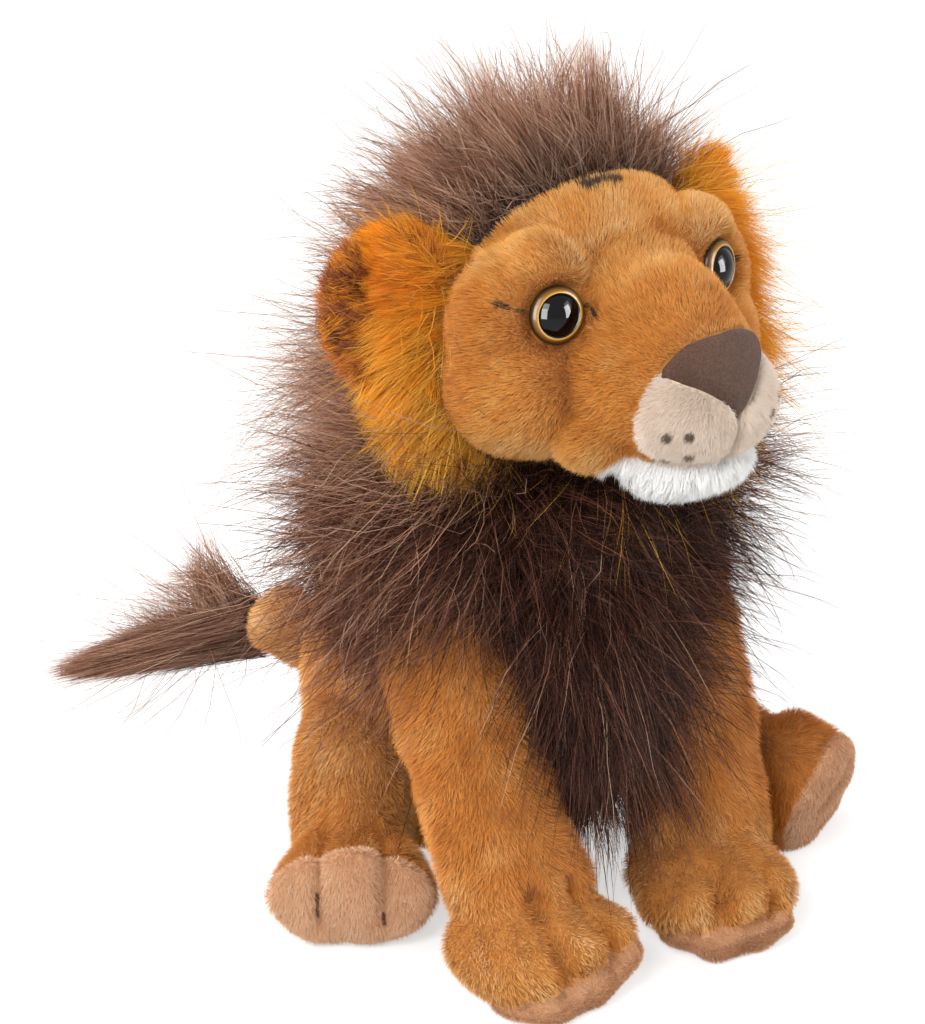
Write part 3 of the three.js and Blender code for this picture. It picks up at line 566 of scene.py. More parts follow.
def cloth_material(name, deep, light, scale=900.0, roughness=0.9, bump=0.3):
    """Backing cloth: a mottled weave in two shades with a fine bump."""
    material, tree, out = new_material(name)
    place = tree.nodes.new("ShaderNodeTexCoord")
    broad = tree.nodes.new("ShaderNodeTexNoise")
    broad.inputs["Scale"].default_value = scale / 6
    broad.inputs["Detail"].default_value = 4
    fine = tree.nodes.new("ShaderNodeTexNoise")
    fine.inputs["Scale"].default_value = scale
    fine.inputs["Detail"].default_value = 3
    for noise in (broad, fine):
        tree.links.new(place.outputs["Object"], noise.inputs["Vector"])
    colour = add_ramp(tree, broad.outputs["Fac"], [(0.3, deep), (0.7, light)])
    shade = add_ramp(tree, fine.outputs["Fac"], [(0.3, grey(0.8)), (0.7, grey(1.05))])
    surface = tree.nodes.new("ShaderNodeBsdfPrincipled")
    surface.inputs["Roughness"].default_value = roughness
    surface.inputs["Specular IOR Level"].default_value = 0.2
    tree.links.new(multiplied(tree, colour, shade), surface.inputs["Base Color"])
    relief = tree.nodes.new("ShaderNodeBump")
    relief.inputs["Strength"].default_value = bump
    relief.inputs["Distance"].default_value = 0.0004
    tree.links.new(fine.outputs["Fac"], relief.inputs["Height"])
    tree.links.new(relief.outputs["Normal"], surface.inputs["Normal"])
    tree.links.new(surface.outputs[0], out.inputs["Surface"])
    return material


# Colours of each pile by tone, from 0 to 1; tones near 0 are stitches, airbrushed marks and a dark patch at the top of
# the forehead.
TONES = {
    "gold_pile": [(0.0, 0x1C120C), (0.03, 0x7A4A1C), (0.25, 0xC4782A), (0.5, 0xE6983C), (0.75, 0xEFB668),
                  (1.0, 0xF8D29C)],
    "face_pile": [(0.0, 0x1C120C), (0.03, 0x7A4E20), (0.25, 0xC67C28), (0.5, 0xE69A38), (0.75, 0xF0B65E),
                  (1.0, 0xF8D296)],
    "ruff_pile": [(0.0, 0x96500A), (0.3, 0xE8940E), (0.6, 0xF8B01C), (1.0, 0xFDD25A)],
    "ear_pile": [(0.0, 0x5C280E), (0.5, 0xC06828), (1.0, 0xEAA04E)],
    "lip_pile": [(0.0, 0x1A1310), (0.025, 0xB89C80), (0.2, 0xDCC8B2), (0.55, 0xF2E3D4), (1.0, 0xFCF5EC)],
    "chin_pile": [(0.0, 0xCFCAC4), (0.4, 0xF8F7F5), (1.0, 0xFFFFFF)],
    "mane_hair": [(0.0, 0x1C0B07), (0.25, 0x4A271B), (0.55, 0x7E4F3C), (0.8, 0xA8785F), (1.0, 0xD6B096)],
    "sole_pile": [(0.0, 0x3A2416), (0.03, 0xB07C54), (0.5, 0xE6B88E), (1.0, 0xF4D4B2)],
}
# How each pile takes the light, where it differs from pile_material's own values; root and tip set the painted shade
# at the strands' roots and the painted light at their tips.
PILES = {
    "gold_pile": {"root": 0.7},
    "face_pile": {"root": 0.68},
    "ruff_pile": {"root": 0.72, "through": 0.45, "shine": 0.3},
    "ear_pile": {},
    "lip_pile": {"root": 0.85, "tip": 1.02, "sheen": 0.1},
    "chin_pile": {"root": 0.95, "tip": 1.02, "through": 0.3},
    "mane_hair": {"root": 0.36, "tip": 1.15, "roughness": 0.6, "through": 0.25, "sheen": 0.0, "shine": 0.08},
    "sole_pile": {"root": 0.8},
}
# The backing cloths' deep and light shades.
CLOTHS = {
    "gold_cloth": (0x9E6424, 0xBC7C34),
    "ruff_cloth": (0x8E5510, 0xA9681A),
    "ear_cloth": (0x4E260C, 0x6E3612),
    "lip_cloth": (0xCBB296, 0xDCC6AE),
    "chin_cloth": (0xC9C4BC, 0xDDD9D2),
    # The mane's backing is darkened to near-black as painted shade for the deep inside of the mane.
    "mane_shade_cloth": (0x160D0A, 0x2A1813),
    "sole_cloth": (0xC48E64, 0xD8A67C),
}
finishes = {}


def finish(name):
    """The named finish, made once."""
    if name not in finishes:
        finishes[name] = pile_material(name, TONES[name], **PILES[name]) if name in TONES \
            else cloth_material(name, *CLOTHS[name])
    return finishes[name]


# ---- sizes a user would change ----

class PlushHead(bpy.types.PropertyGroup):
    """Sizes of the head's covers and pile."""
    inset: bpy.props.FloatProperty(name="Cloth inset", description="How far the cloth lies under the pile tips",
                                   default=4.0 * MM, unit="LENGTH")
    face_pile: bpy.props.FloatProperty(name="Face pile", description="Length of the face's short pile",
                                       default=3.2 * MM, unit="LENGTH")
    lip_pile: bpy.props.FloatProperty(name="Lip pile", description="Length of the pile on the lips",
                                      default=2.8 * MM, unit="LENGTH")
    chin_pile: bpy.props.FloatProperty(name="Chin pile", description="Length of the white chin pile",
                                       default=5.0 * MM, unit="LENGTH")
    ruff_pile: bpy.props.FloatProperty(name="Ruff pile", description="Length of the orange cheek ruff",
                                       default=28 * MM, unit="LENGTH")
    ear_pile: bpy.props.FloatProperty(name="Ear pile", description="Length of the pile that fills the ear",
                                      default=13 * MM, unit="LENGTH")
    nose_colour: bpy.props.FloatVectorProperty(name="Nose colour", description="Colour of the nose patch",
                                               default=linear(0x4E3325), size=4, subtype="COLOR")
    amber: bpy.props.FloatVectorProperty(name="Eye amber", description="Colour of the eyes' rim",
                                         default=linear(0xB27A22), size=4, subtype="COLOR")


class PlushMane(bpy.types.PropertyGroup):
    """Sizes of the mane and the tail's tuft."""
    crown: bpy.props.FloatProperty(name="Crown hair", description="Length of the hair on the head",
                                   default=54 * MM, unit="LENGTH")
    collar: bpy.props.FloatProperty(name="Collar hair", description="Length of the hair round the neck",
                                    default=56 * MM, unit="LENGTH")
    bib: bpy.props.FloatProperty(name="Bib hair", description="Length of the hair on the chest",
                                 default=40 * MM, unit="LENGTH")
    tuft: bpy.props.FloatProperty(name="Tuft hair", description="Length of the hair at the tail's end",
                                  default=46 * MM, unit="LENGTH")
    thickness: bpy.props.FloatProperty(name="Hair width", description="Width of one drawn lock of hair",
                                       default=0.27 * MM, unit="LENGTH")


class PlushBody(bpy.types.PropertyGroup):
    """Sizes of the body's covers and pile."""
    inset: bpy.props.FloatProperty(name="Cloth inset", description="How far the cloth lies under the pile tips",
                                   default=4.0 * MM, unit="LENGTH")
    pile: bpy.props.FloatProperty(name="Body pile", description="Length of the pile on body, legs and tail",
                                  default=3.7 * MM, unit="LENGTH")
    sole_pile: bpy.props.FloatProperty(name="Sole pile", description="Length of the pile on the soles",
                                       default=1.9 * MM, unit="LENGTH")
    pressure: bpy.props.FloatProperty(name="Filling pressure", description="How hard the filling swells the skins",
                                      default=2.0, min=0.0)


skins = {}


def body_skin(obj, body, *nodes, fill=0.7):
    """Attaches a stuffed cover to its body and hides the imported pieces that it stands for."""
    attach(obj, body)
    if nodes:
        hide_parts(*nodes)
    return obj


def cut_out(name, verts, quads, keep, material, world=None):
    """A panel: the chosen faces of a skin as their own object."""
    faces = quads[keep]
    used, index = np.unique(faces, return_inverse=True)
    points = verts[used] if world is None else world(verts[used])
    obj = raw_object(name, points, index.reshape(-1, 4))
    obj.data.materials.append(finish(material))
    obj.data.polygons.foreach_set("use_smooth", np.ones(len(faces), bool))
    return obj


# ---- head ----

def near_line(points, start, end):
    """Distance of each point from a straight stretch."""
    start, end = np.asarray(start, float), np.asarray(end, float)
    way = end - start
    share = np.clip(((points - start) @ way) / (way @ way), 0, 1)
    return np.linalg.norm(points - start - share[:, None] * way, axis=1)


def near_path(points, path, side):
    """Distance of points from a seam's path, mirrored to one side of the face."""
    path = np.array(path, float) * [side, 1, 1]
    return np.min([near_line(points, a, b) for a, b in zip(path[:-1], path[1:])], axis=0)


def eye_place(side):
    """The seat of an eye and the way it looks, in the head's frame."""
    facing = unit([side * math.sin(EYE_SPLAY), -math.cos(EYE_SPLAY), math.tan(EYE_TILT)])
    return EYE_AT * [side, 1, 1] + LEFT_EYE_SHIFT * (side > 0), facing


def seam_depth(points):
    """How far behind the face's seam each place lies; the seam bows back at the cheeks."""
    wide = (points[:, 0] / 50) ** 2 * (1 + 0.6 * ramp(points[:, 2], 10, 35))
    return points[:, 1] - SEAM_Y - SEAM_BOW * np.minimum(wide, 1.0)


def nose_half(down):
    """Half the nose patch's width at a distance down from its top edge."""
    flat = np.interp(down, *zip(*NOSE_HALF))
    return np.where((down < 0) | (down > NOSE_TALL), 0, flat)


def in_nose(points, margin=0.0):
    """Whether points of the head's frame lie under the nose patch."""
    away = points - NOSE_AT
    down = away @ NOSE_DOWN + NOSE_RISE * np.maximum(points[:, 0], 0)
    front = away @ NOSE_OUT > -16
    return front & (np.abs(points[:, 0]) < nose_half(np.clip(down, 0.05, NOSE_TALL - 0.1)) + margin) \
        & (down > -margin) & (down < NOSE_TALL + margin)


def chin_share(points):
    """How deep points lie in the chin's form: 1 on its surface."""
    return np.linalg.norm((points - CHIN_AT) / CHIN_HALF, axis=1)


def head_regions(points):
    """Which panel each place on the head belongs to."""
    x, y, z = points.T
    region = np.where(seam_depth(points) > 0, "back", "face")
    region = np.where((y < -50) & (np.abs(x) < 34), "bridge", region)
    lip = (lip_front(points) > 0) & (y < -48) & (z < -1.0)
    region = np.where(lip, np.where(x < 0, "lip_right", "lip_left"), region)
    under = (chin_share(points) < 1.1) & (z < -27) & (y < -40)
    return np.where(under, "chin", region)


def lip_front(points):
    """How far each place lies in front of the lips' seam, which wraps back at the sides."""
    return (points - LIP_AT) @ LIP_WAY + 1.0 * (points[:, 0] / 21) ** 2


def make_head_skin():
    """The head's cloth: forms joined, then shaped by its seams and filling."""
    inset = bpy.context.scene.plush_head.inset / MM
    shells = [egg((0, 0, 0), HEAD_HALF - inset), egg(CHIN_AT, CHIN_HALF - inset * 0.5)]
    for _, side in SIDES:
        for centre, half in (CHEEK, JOWL, TEMPLE, BROW):
            shells.append(egg(np.array(centre) * [side, 1, 1], half))
    shells.append(stuffed(JAW, (10, 16), ACROSS))
    shells.append(stuffed(BRIDGE, (10, 12), ACROSS))
    verts, quads = one_skin(shells, 1.25, 5)
    normals = normals_of(verts, quads)
    push = 0.35 * ripple(verts, 26, 3)
    for _, side in SIDES:
        push += 1.2 * bell(np.linalg.norm(verts - [side * 12.5, -76, -19], axis=1), 8.0)
        push -= (1.1 - 0.4 * side) * bell(near_path(verts, BROW_SEAM, side), 1.5)
        push -= 1.5 * bell(near_path(verts, BRIDGE_SEAM, side), 1.6)
        push -= 0.5 * bell(near_line(verts, [side * 30, -38, 4], [side * 33, -41, -16]), 2.0)
    lips = ramp(-verts[:, 1], 62, 68) * ramp(-verts[:, 2], 8, 13) * ramp(verts[:, 2], -32, -28)
    push -= 2.4 * bell(verts[:, 0], 1.4) * lips
    push -= 0.5 * bell(lip_front(verts), 1.1) * ramp(-verts[:, 1], 52, 56) * (chin_share(verts) > 1.1)
    push -= 0.7 * bell(chin_share(verts) - 1.1, 0.07) * ramp(-verts[:, 1], 50, 56)
    push -= 1.1 * bell(seam_depth(verts), 1.4)
    verts = verts + normals * push[:, None]
    for _, side in SIDES:
        seat, facing = eye_place(side)
        high = (verts - seat) @ facing
        off = np.linalg.norm(verts - seat - high[:, None] * facing, axis=1)
        near = ramp(-off, -12.5, -8.6) * (np.abs(high) < 12)
        verts = verts + facing * (near * (-0.4 - high))[:, None]
    verts = relax(verts, quads, 1)
    return verts, quads, normals_of(verts, quads)



class PLUSH_OT_head(bpy.types.Operator):
    """Sews the head's covers and its short pile."""
    bl_idname = "plush.head"
    bl_label = "Head covers"

    def execute(self, context):
        sizes = context.scene.plush_head
        verts, quads, normals = make_head_skin()
        skins["head"] = (verts, quads, normals)
        middle = verts[quads].mean(1)
        region = head_regions(middle)
        panels = {
            "face": ("face_cover", "gold_cloth", ["face_panel"]),
            "back": ("head_back_cover", "mane_shade_cloth", ["head_back_panel", "head_stuffing"]),
            "bridge": ("bridge_cover", "gold_cloth", ["muzzle_bridge"]),
            "lip_right": ("lip_right_cover", "lip_cloth", ["lip_right"]),
            "lip_left": ("lip_left_cover", "lip_cloth", ["lip_left"]),
            "chin": ("chin_cover", "chin_cloth", ["chin_panel"]),
        }
        for key, (name, material, nodes) in panels.items():
            body_skin(cut_out(name, verts, quads, region == key, material, to_world), "head", *nodes)
        skin = (verts, quads, normals)

        def golden(p):
            here = np.isin(head_regions(p), ("face", "bridge")) & ~in_nose(p, 0.4) & (seam_depth(p) < -0.4)
            for _, side in SIDES:
                here &= np.linalg.norm(p - eye_place(side)[0], axis=1) > 8.6
            return here.astype(float)

        for part in (1, 2):
            places, out = scatter(skin, FIBRES["face"], 10 + part, golden)
            flow = places - np.array([0, -70, -2])
            flow[:, 2] += 6 * ramp(places[:, 2], 0, 25)
            length = sizes.face_pile / MM * np.ones(len(places))
            tone = 0.5 + 0.08 * ripple(places, 22, 5) + 0.06 * ripple(places, 6, 6)
            tone += 0.26 * ramp(places[:, 2], 12, 30) + 0.2 * ramp(-places[:, 2], 17, 30) * ramp(-places[:, 1], 60, 50)
            for _, side in SIDES:
                seat = eye_place(side)[0]
                off = np.linalg.norm(places - seat, axis=1)
                flow += (places - seat) * (bell(off - 9, 3.0) * 6)[:, None]
                length *= 1 - 0.45 * bell(off - 8.8, 3.0)
                # Painted shade: the tone darkens in the grooves along the brow and bridge seams and in a ring round
                # each eye, where the pile dips into the socket.
                tone -= 0.2 * bell(near_path(places, BROW_SEAM, side), 1.0)
                tone -= 0.2 * bell(near_path(places, BRIDGE_SEAM, side), 1.0)
                tone -= 0.12 * bell(off - 8.8, 1.6)
                tone += 0.16 * bell(np.linalg.norm(places - [side * 27, -36, 23], axis=1), 7.0)
                tone += 0.2 * bell(np.linalg.norm(places - [side * 42, -32, -20], axis=1), 11.0)
                for start, end in EYE_MARKS:
                    stitch = near_line(places, np.array(start) * [side, 1, 1], np.array(end) * [side, 1, 1])
                    tone = np.where(stitch < 0.95, -1.0, tone)
            # A near-black patch along a short stretch at the top of the forehead, by the seam.
            dark_patch = near_line(places, FOREHEAD_DARK_PATCH[0], FOREHEAD_DARK_PATCH[1])
            tone = np.where(dark_patch < 2.0 + 0.8 * ripple(places, 3, 9), -1.0, tone)
            # Painted shade along the groove where the face meets the mane.
            tone -= 0.1 * bell(seam_depth(places), 4.0)
            tone += 0.1 * ramp(-places[:, 1], 50, 70)
            length *= 1 - 0.3 * ramp(-places[:, 1], 46, 62)
            flow += 0.25 * drift(places, 20, (21, 22, 23)) * np.linalg.norm(flow, axis=1, keepdims=True)
            pile = strands("face_pile_%d" % part, to_world(places), turn_out(out), finish("face_pile"), length=length,
                           width=0.23, flow=turn_out(flow), rise=0.6, bend=0.4, wander=0.13, cell=1.3, pull=0.2,
                           parts=2, tone=tone, tone_spread=0.06, seed=12 + part)
            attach(pile, "head")

        dots = [(-1, d) for d in WHISKERS_RIGHT] + [(1, d) for d in WHISKERS_LEFT]
        for name, side in SIDES:
            def lip(p, key="lip_" + name):
                return ((head_regions(p) == key) & ~in_nose(p, 0.2)).astype(float)
            places, out = scatter(skin, FIBRES["lip"], 31 + side, lip)
            flow = places - np.array([0, -80, 0])
            flow[:, 2] -= 8
            tone = 0.55 + 0.05 * ripple(places, 9, 33)
            # Painted shade in the groove down the middle of the lips.
            tone -= 0.2 * bell(places[:, 0], 1.6)
            for dot_side, dot in dots:
                if dot_side == side:
                    off = np.linalg.norm(places - np.array(dot), axis=1)
                    tone = np.where(off < 1.45, -1.0, tone)
            pile = strands("lip_%s_pile" % name, to_world(places), turn_out(out), finish("lip_pile"),
                           length=sizes.lip_pile / MM, width=0.21, flow=turn_out(flow), rise=0.55, bend=0.4,
                           wander=0.12, parts=2, tone=tone, tone_spread=0.05, seed=34 + side)
            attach(pile, "head")

        def pale(p):
            return (head_regions(p) == "chin").astype(float)

        places, out = scatter(skin, FIBRES["chin"], 41, pale)
        flow = np.stack([places[:, 0] * 0.05, -0.3 + 0 * places[:, 0], -1.0 + 0 * places[:, 0]], 1)
        pile = strands("chin_pile", to_world(places), turn_out(out), finish("chin_pile"),
                       length=sizes.chin_pile / MM, width=0.24, flow=turn_out(flow), rise=0.4, bend=0.6, droop=0.1,
                       wander=0.2, cell=3.0, pull=0.5, parts=3, tone=0.6, tone_spread=0.08, seed=42)
        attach(pile, "head")
        return {"FINISHED"}


WHISKERS_RIGHT = [(-19.8, -70.3, -16.6), (-15.6, -74.3, -16.0), (-13.5, -72.4, -22.9), (-16.4, -66.6, -25.0),
                  (-18.3, -62.8, -26.6)]
WHISKERS_LEFT = [(17.9, -72.6, -12.9), (13.4, -75.2, -15.5), (14.5, -74.0, -20.5), (18.6, -71.0, -17.5)]
EYE_MARKS = [((46.0, -28.5, 16.1), (40.8, -32.3, 13.4)), ((22.6, -36.8, 13.5), (20.6, -42.0, 9.6))]
FOREHEAD_DARK_PATCH = [(-7.0, -20.3, 40.8), (4.5, -20.8, 41.0)]
BROW_SEAM = [(36, -13, 28), (33, -14, 30.5), (28, -19.5, 32.4), (24, -27, 32.7), (22, -32, 30), (19, -34.5, 22.5),
             (21, -36, 18)]
BRIDGE_SEAM = [(19, -35, 20), (16.3, -34.6, 22.8), (10.5, -35.2, 26.8), (6.5, -35.3, 28.4)]


def lathe(outline, sides=64):
    """A round form from radius and height pairs."""
    turns = np.linspace(0, 2 * math.pi, sides, endpoint=False)
    points, faces = [], []
    for r, z in outline:
        points.append(np.stack([r * np.cos(turns), r * np.sin(turns), np.full(sides, z)], 1))
    for i in range(len(outline) - 1):
        for j in range(sides):
            a, b = i * sides + j, i * sides + (j + 1) % sides
            faces.append((a, b, b + sides, a + sides))
    return np.vstack(points), faces


def on_axis(points, seat, facing):
    """Turns places about +Z onto a seat that faces a given way."""
    turn = np.array(Vector((0, 0, 1)).rotation_difference(Vector(facing)).to_matrix())
    return points @ turn.T + seat


def iris_material(amber):
    """Clear-coated amber: a bright gold ring round the pupil that darkens to the rim."""
    material, tree, out = new_material("eye_amber_glass")
    place = tree.nodes.new("ShaderNodeUVMap")
    place.uv_map = "OFBake"
    parts = tree.nodes.new("ShaderNodeSeparateXYZ")
    tree.links.new(place.outputs["UV"], parts.inputs["Vector"])
    colour = add_ramp(tree, parts.outputs["X"], [(0.0, 0x0A0604), (0.08, 0x0A0604), (0.16, 0xE0AA44), (0.32, amber),
                                                 (0.5, 0x7E561A), (0.86, 0x543A14), (1.0, 0x22150A)])
    surface = tree.nodes.new("ShaderNodeBsdfPrincipled")
    surface.inputs["Roughness"].default_value = 0.35
    surface.inputs["Specular IOR Level"].default_value = 0.2
    surface.inputs["Coat Weight"].default_value = 0.3
    surface.inputs["Coat Roughness"].default_value = 0.03
    surface.inputs["Coat IOR"].default_value = 1.3
    tree.links.new(colour, surface.inputs["Base Color"])
    tree.links.new(surface.outputs[0], out.inputs["Surface"])
    return material


def pupil_material():
    """Polished black with faint moulded clouding."""
    material, tree, out = new_material("eye_black_glass")
    place = tree.nodes.new("ShaderNodeTexCoord")
    noise = tree.nodes.new("ShaderNodeTexNoise")
    noise.inputs["Scale"].default_value = 250
    tree.links.new(place.outputs["Object"], noise.inputs["Vector"])
    surface = tree.nodes.new("ShaderNodeBsdfPrincipled")
    surface.inputs["Roughness"].default_value = 0.03
    surface.inputs["Specular IOR Level"].default_value = 0.2
    tree.links.new(add_ramp(tree, noise.outputs["Fac"], [(0.3, 0x030303), (0.7, 0x070606)]),
                   surface.inputs["Base Color"])
    tree.links.new(surface.outputs[0], out.inputs["Surface"])
    return material


class PLUSH_OT_eyes(bpy.types.Operator):
    """Sets the domed safety eyes in their sockets."""
    bl_idname = "plush.eyes"
    bl_label = "Safety eyes"

    def execute(self, context):
        for name, side in SIDES:
            seat, facing = eye_place(side)
            rim = [(0.0, -0.6), (EYE_RADIUS - 0.8, -0.6), (EYE_RADIUS - 0.2, -0.2), (EYE_RADIUS, 0.5),
                   (EYE_RADIUS - 0.05, 1.1), (EYE_RADIUS - 0.4, 1.8)]
            slope = [(8.0 - 1.55 * k / 10, 1.8 + 0.9 * math.sin(math.pi / 2 * k / 10)) for k in range(1, 11)]
            outline = rim + slope + [(6.3, 2.3), (0.0, 2.2)]
            points, faces = lathe(outline)
            obj = raw_object("eye_iris_" + name, to_world(on_axis(points, seat, facing)), faces)
            obj.data.polygons.foreach_set("use_smooth", np.ones(len(faces), bool))
            shares = [1.0, 1.0, 1.0, 0.98, 0.95, 0.9] + [0.9 - 0.8 * k / 10 for k in range(1, 11)] + [0.03, 0.0]
            layer = obj.data.uv_layers.new(name="OFBake")
            turn = np.linspace(0, 1, 65)
            uv = []
            for i in range(len(outline) - 1):
                for j in range(64):
                    uv += [shares[i], turn[j], shares[i] + 1e-3, turn[j + 1], shares[i + 1] + 1e-3, turn[j + 1],
                           shares[i + 1], turn[j]]
            layer.data.foreach_set("uv", np.clip(uv, 0, 1))
            obj.data.materials.append(iris_material(list(context.scene.plush_head.amber)))
            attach(obj, "head")
            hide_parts("eye_bezel_" + name)
            curve = (PUPIL_RADIUS ** 2 + PUPIL_RISE ** 2) / (2 * PUPIL_RISE)
            dome = [PUPIL_RADIUS * math.cos(math.pi / 2 * k / 16) for k in range(17)]
            dome = [(r, 2.0 + math.sqrt(max(curve ** 2 - r ** 2, 0)) - (curve - PUPIL_RISE)) for r in dome]
            points, faces = lathe([(PUPIL_RADIUS, 1.8)] + dome)
            obj = raw_object("eye_dome_" + name, to_world(on_axis(points, seat, facing)), faces)
            obj.data.polygons.foreach_set("use_smooth", np.ones(len(faces), bool))
            obj.data.materials.append(pupil_material())
            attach(obj, "head")
            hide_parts("eye_pupil_" + name)
        return {"FINISHED"}


def knit_material(colour):
    """Brushed knit: fine crossed ribs under a soft felted nap."""
    material, tree, out = new_material("nose_knit")
    place = tree.nodes.new("ShaderNodeTexCoord")
    noise = tree.nodes.new("ShaderNodeTexNoise")
    noise.inputs["Scale"].default_value = 1500
    noise.inputs["Detail"].default_value = 6
    broad = tree.nodes.new("ShaderNodeTexNoise")
    broad.inputs["Scale"].default_value = 160
    cells = tree.nodes.new("ShaderNodeTexVoronoi")
    cells.inputs["Scale"].default_value = 1500
    for node in (noise, broad, cells):
        tree.links.new(place.outputs["Object"], node.inputs["Vector"])
    dark = [c * 0.62 for c in colour[:3]] + [1.0]
    light = [min(c * 1.5, 1) for c in colour[:3]] + [1.0]
    base = add_ramp(tree, noise.outputs["Fac"], [(0.28, dark), (0.5, list(colour)), (0.72, light)])
    shade = add_ramp(tree, broad.outputs["Fac"], [(0.3, grey(0.85)), (0.7, grey(1.1))])
    surface = tree.nodes.new("ShaderNodeBsdfPrincipled")
    surface.inputs["Roughness"].default_value = 0.88
    surface.inputs["Specular IOR Level"].default_value = 0.2
    surface.inputs["Sheen Weight"].default_value = 0.08
    surface.inputs["Sheen Roughness"].default_value = 0.5
    tree.links.new(multiplied(tree, base, shade), surface.inputs["Base Color"])
    relief = tree.nodes.new("ShaderNodeBump")
    relief.inputs["Strength"].default_value = 0.6
    relief.inputs["Distance"].default_value = 0.0005
    tree.links.new(cells.outputs["Distance"], relief.inputs["Height"])
    tree.links.new(relief.outputs["Normal"], surface.inputs["Normal"])
    tree.links.new(surface.outputs[0], out.inputs["Surface"])
    return material


class PLUSH_OT_nose(bpy.types.Operator):
    """Lays the padded nose patch over the muzzle."""
    bl_idname = "plush.nose"
    bl_label = "Nose patch"

    def execute(self, context):
        tree = tree_of(skins["head"])
        rows, columns = 34, 56
        grid, rise = [], []
        for i in range(rows + 1):
            down = NOSE_TALL * i / rows
            half = max(float(nose_half(np.array(min(max(down, 0.05), NOSE_TALL - 0.05)))), 0.3)
            for j in range(columns + 1):
                x = half * (2 * j / columns - 1)
                start = NOSE_AT + NOSE_DOWN * (down - NOSE_RISE * max(x, 0)) + ACROSS * x + NOSE_OUT * 30
                hit = tree.ray_cast(start, -NOSE_OUT, 60)
                ground = np.array(hit[0]) if hit[0] is not None else start - NOSE_OUT * 30
                edge = min(half - abs(x), down, (NOSE_TALL - down) * 1.4)
                lift = 3.3 * (1 - (1 - min(edge / 4.2, 1)) ** 2.2)
                grid.append(ground + NOSE_OUT * (lift + 0.4))
                rise.append(lift)
        grid = np.array(grid).reshape(rows + 1, columns + 1, 3)
        for _ in range(3):
            inner = (grid[:-2, 1:-1] + grid[2:, 1:-1] + grid[1:-1, :-2] + grid[1:-1, 2:]) / 4
            grid[1:-1, 1:-1] = grid[1:-1, 1:-1] * 0.4 + inner * 0.6
        ring = [(0, j) for j in range(columns)] + [(i, columns) for i in range(rows)] \
            + [(rows, j) for j in range(columns, 0, -1)] + [(i, 0) for i in range(rows, 0, -1)]
        points = list(grid.reshape(-1, 3))
        faces = []
        for i in range(rows):
            for j in range(columns):
                a = i * (columns + 1) + j
                faces.append((a, a + 1, a + columns + 2, a + columns + 1))
        start = len(points)
        for i, j in ring:
            points.append(grid[i, j] - NOSE_OUT * 3.0)
        for k, (i, j) in enumerate(ring):
            ni, nj = ring[(k + 1) % len(ring)]
            faces.append((i * (columns + 1) + j, start + k, start + (k + 1) % len(ring), ni * (columns + 1) + nj))
        obj = raw_object("nose_pad", to_world(np.array(points)), faces)
        obj.data.polygons.foreach_set("use_smooth", np.ones(len(faces), bool))
        obj.data.materials.append(knit_material(list(context.scene.plush_head.nose_colour)))
        body_skin(obj, "head", "nose_patch", fill=0.6)
        return {"FINISHED"}


# ---- body and legs ----

TORSO = [((0, 1, 26), 96, 92), ((0, 3, 50), 116, 108), ((0, -6, 84), 112, 98), ((0, -26, 114), 96, 82),
         ((0, -42, 126), 64, 52)]
NECK = [((0, -46, 122), 34, 34), ((0, -46, 150), 30, 30), ((0, -46, 176), 34, 34)]
# Share of the paw's reach, height of its middle, width and depth.
PAW_FORM = [(0.0, 17, 49, 38), (0.4, 15, 56, 40), (0.65, 14, 52, 37), (0.85, 12, 38, 31)]
# A toe crease: share of its distance from the middle, how far behind the toes' tips, and height.
TOE_CREASE = [(1.0, 1, 13), (1.0, 5, 25), (0.85, 14, 32), (0.6, 24, 36)]
TOE_APART = 9.5
PAWS = {"right": (-36.0, -114.0), "left": (29.0, -97.0)}
HIND = {"right": ((-72.5, -57.0, 16.5), 28, 0, 0), "left": ((93.0, -67.0, 17.0), 33, 22, 44)}
TAIL = [((2, 50, 24), 24, 24), ((-14, 70, 35), 24, 24), ((-30, 86, 49), 30, 31)]
TUFT_ROOT = np.array([-36.0, 95.0, 44.0])
TUFT_TIP = np.array([-91.0, 165.0, 8.0])
TUFT_LOCK = np.array([-46.0, 116.0, 80.0])


def front_shells(name, side, inset):
    """A front leg's shin and paw; the right paw spreads wider, the left shin stands further out."""
    paw_x, paw_y = PAWS[name]
    spread, lean = (7.0, 2.0) if side < 0 else (0.0, 6.5)
    top = np.array([side * 34.0, -44.0, 114.0])
    foot = np.array([paw_x + lean, paw_y + 17.0 - 1.5 * side, 26.0])
    out = np.array([side * 3.0, 0, 0])
    shin = stuffed([(top, 50, 58), (top + (foot - top) * 0.36 + out, 50, 53), (top + (foot - top) * 0.8 + out, 48, 45),
                    (foot, 51, 44)], (22, 16), ACROSS, inset)
    heel, ahead, across, reach = paw_frame(name, side)
    paw = stuffed([(heel + ahead * (reach * share) + UP * z, w + spread, h) for share, z, w, h in PAW_FORM],
                  (15, 6), across, inset)
    return [shin, paw]


def paw_frame(name, side):
    """A front paw's heel, the way it points, the line of its width and its reach; the right one is turned in."""
    paw_x, paw_y = PAWS[name]
    turn = math.radians(16) if side < 0 else 0.0
    ahead = np.array([math.sin(turn), -math.cos(turn), 0])
    across = np.array([math.cos(turn), math.sin(turn), 0])
    heel = np.array([paw_x - 1.0, paw_y + 22.0, 0]) if side < 0 else np.array([paw_x + 2.6, paw_y + 15.5, 0])
    return heel, ahead, across, 37.0 if side < 0 else 40.0


def toe_paths(name, side):
    """The paths of the two creases between a front paw's toes, from the sole's seam up over the paw."""
    heel, ahead, across, reach = paw_frame(name, side)
    return [[heel + across * (off * share) + ahead * (reach - back) + UP * z for share, back, z in TOE_CREASE]
            for off in (-TOE_APART, TOE_APART)]


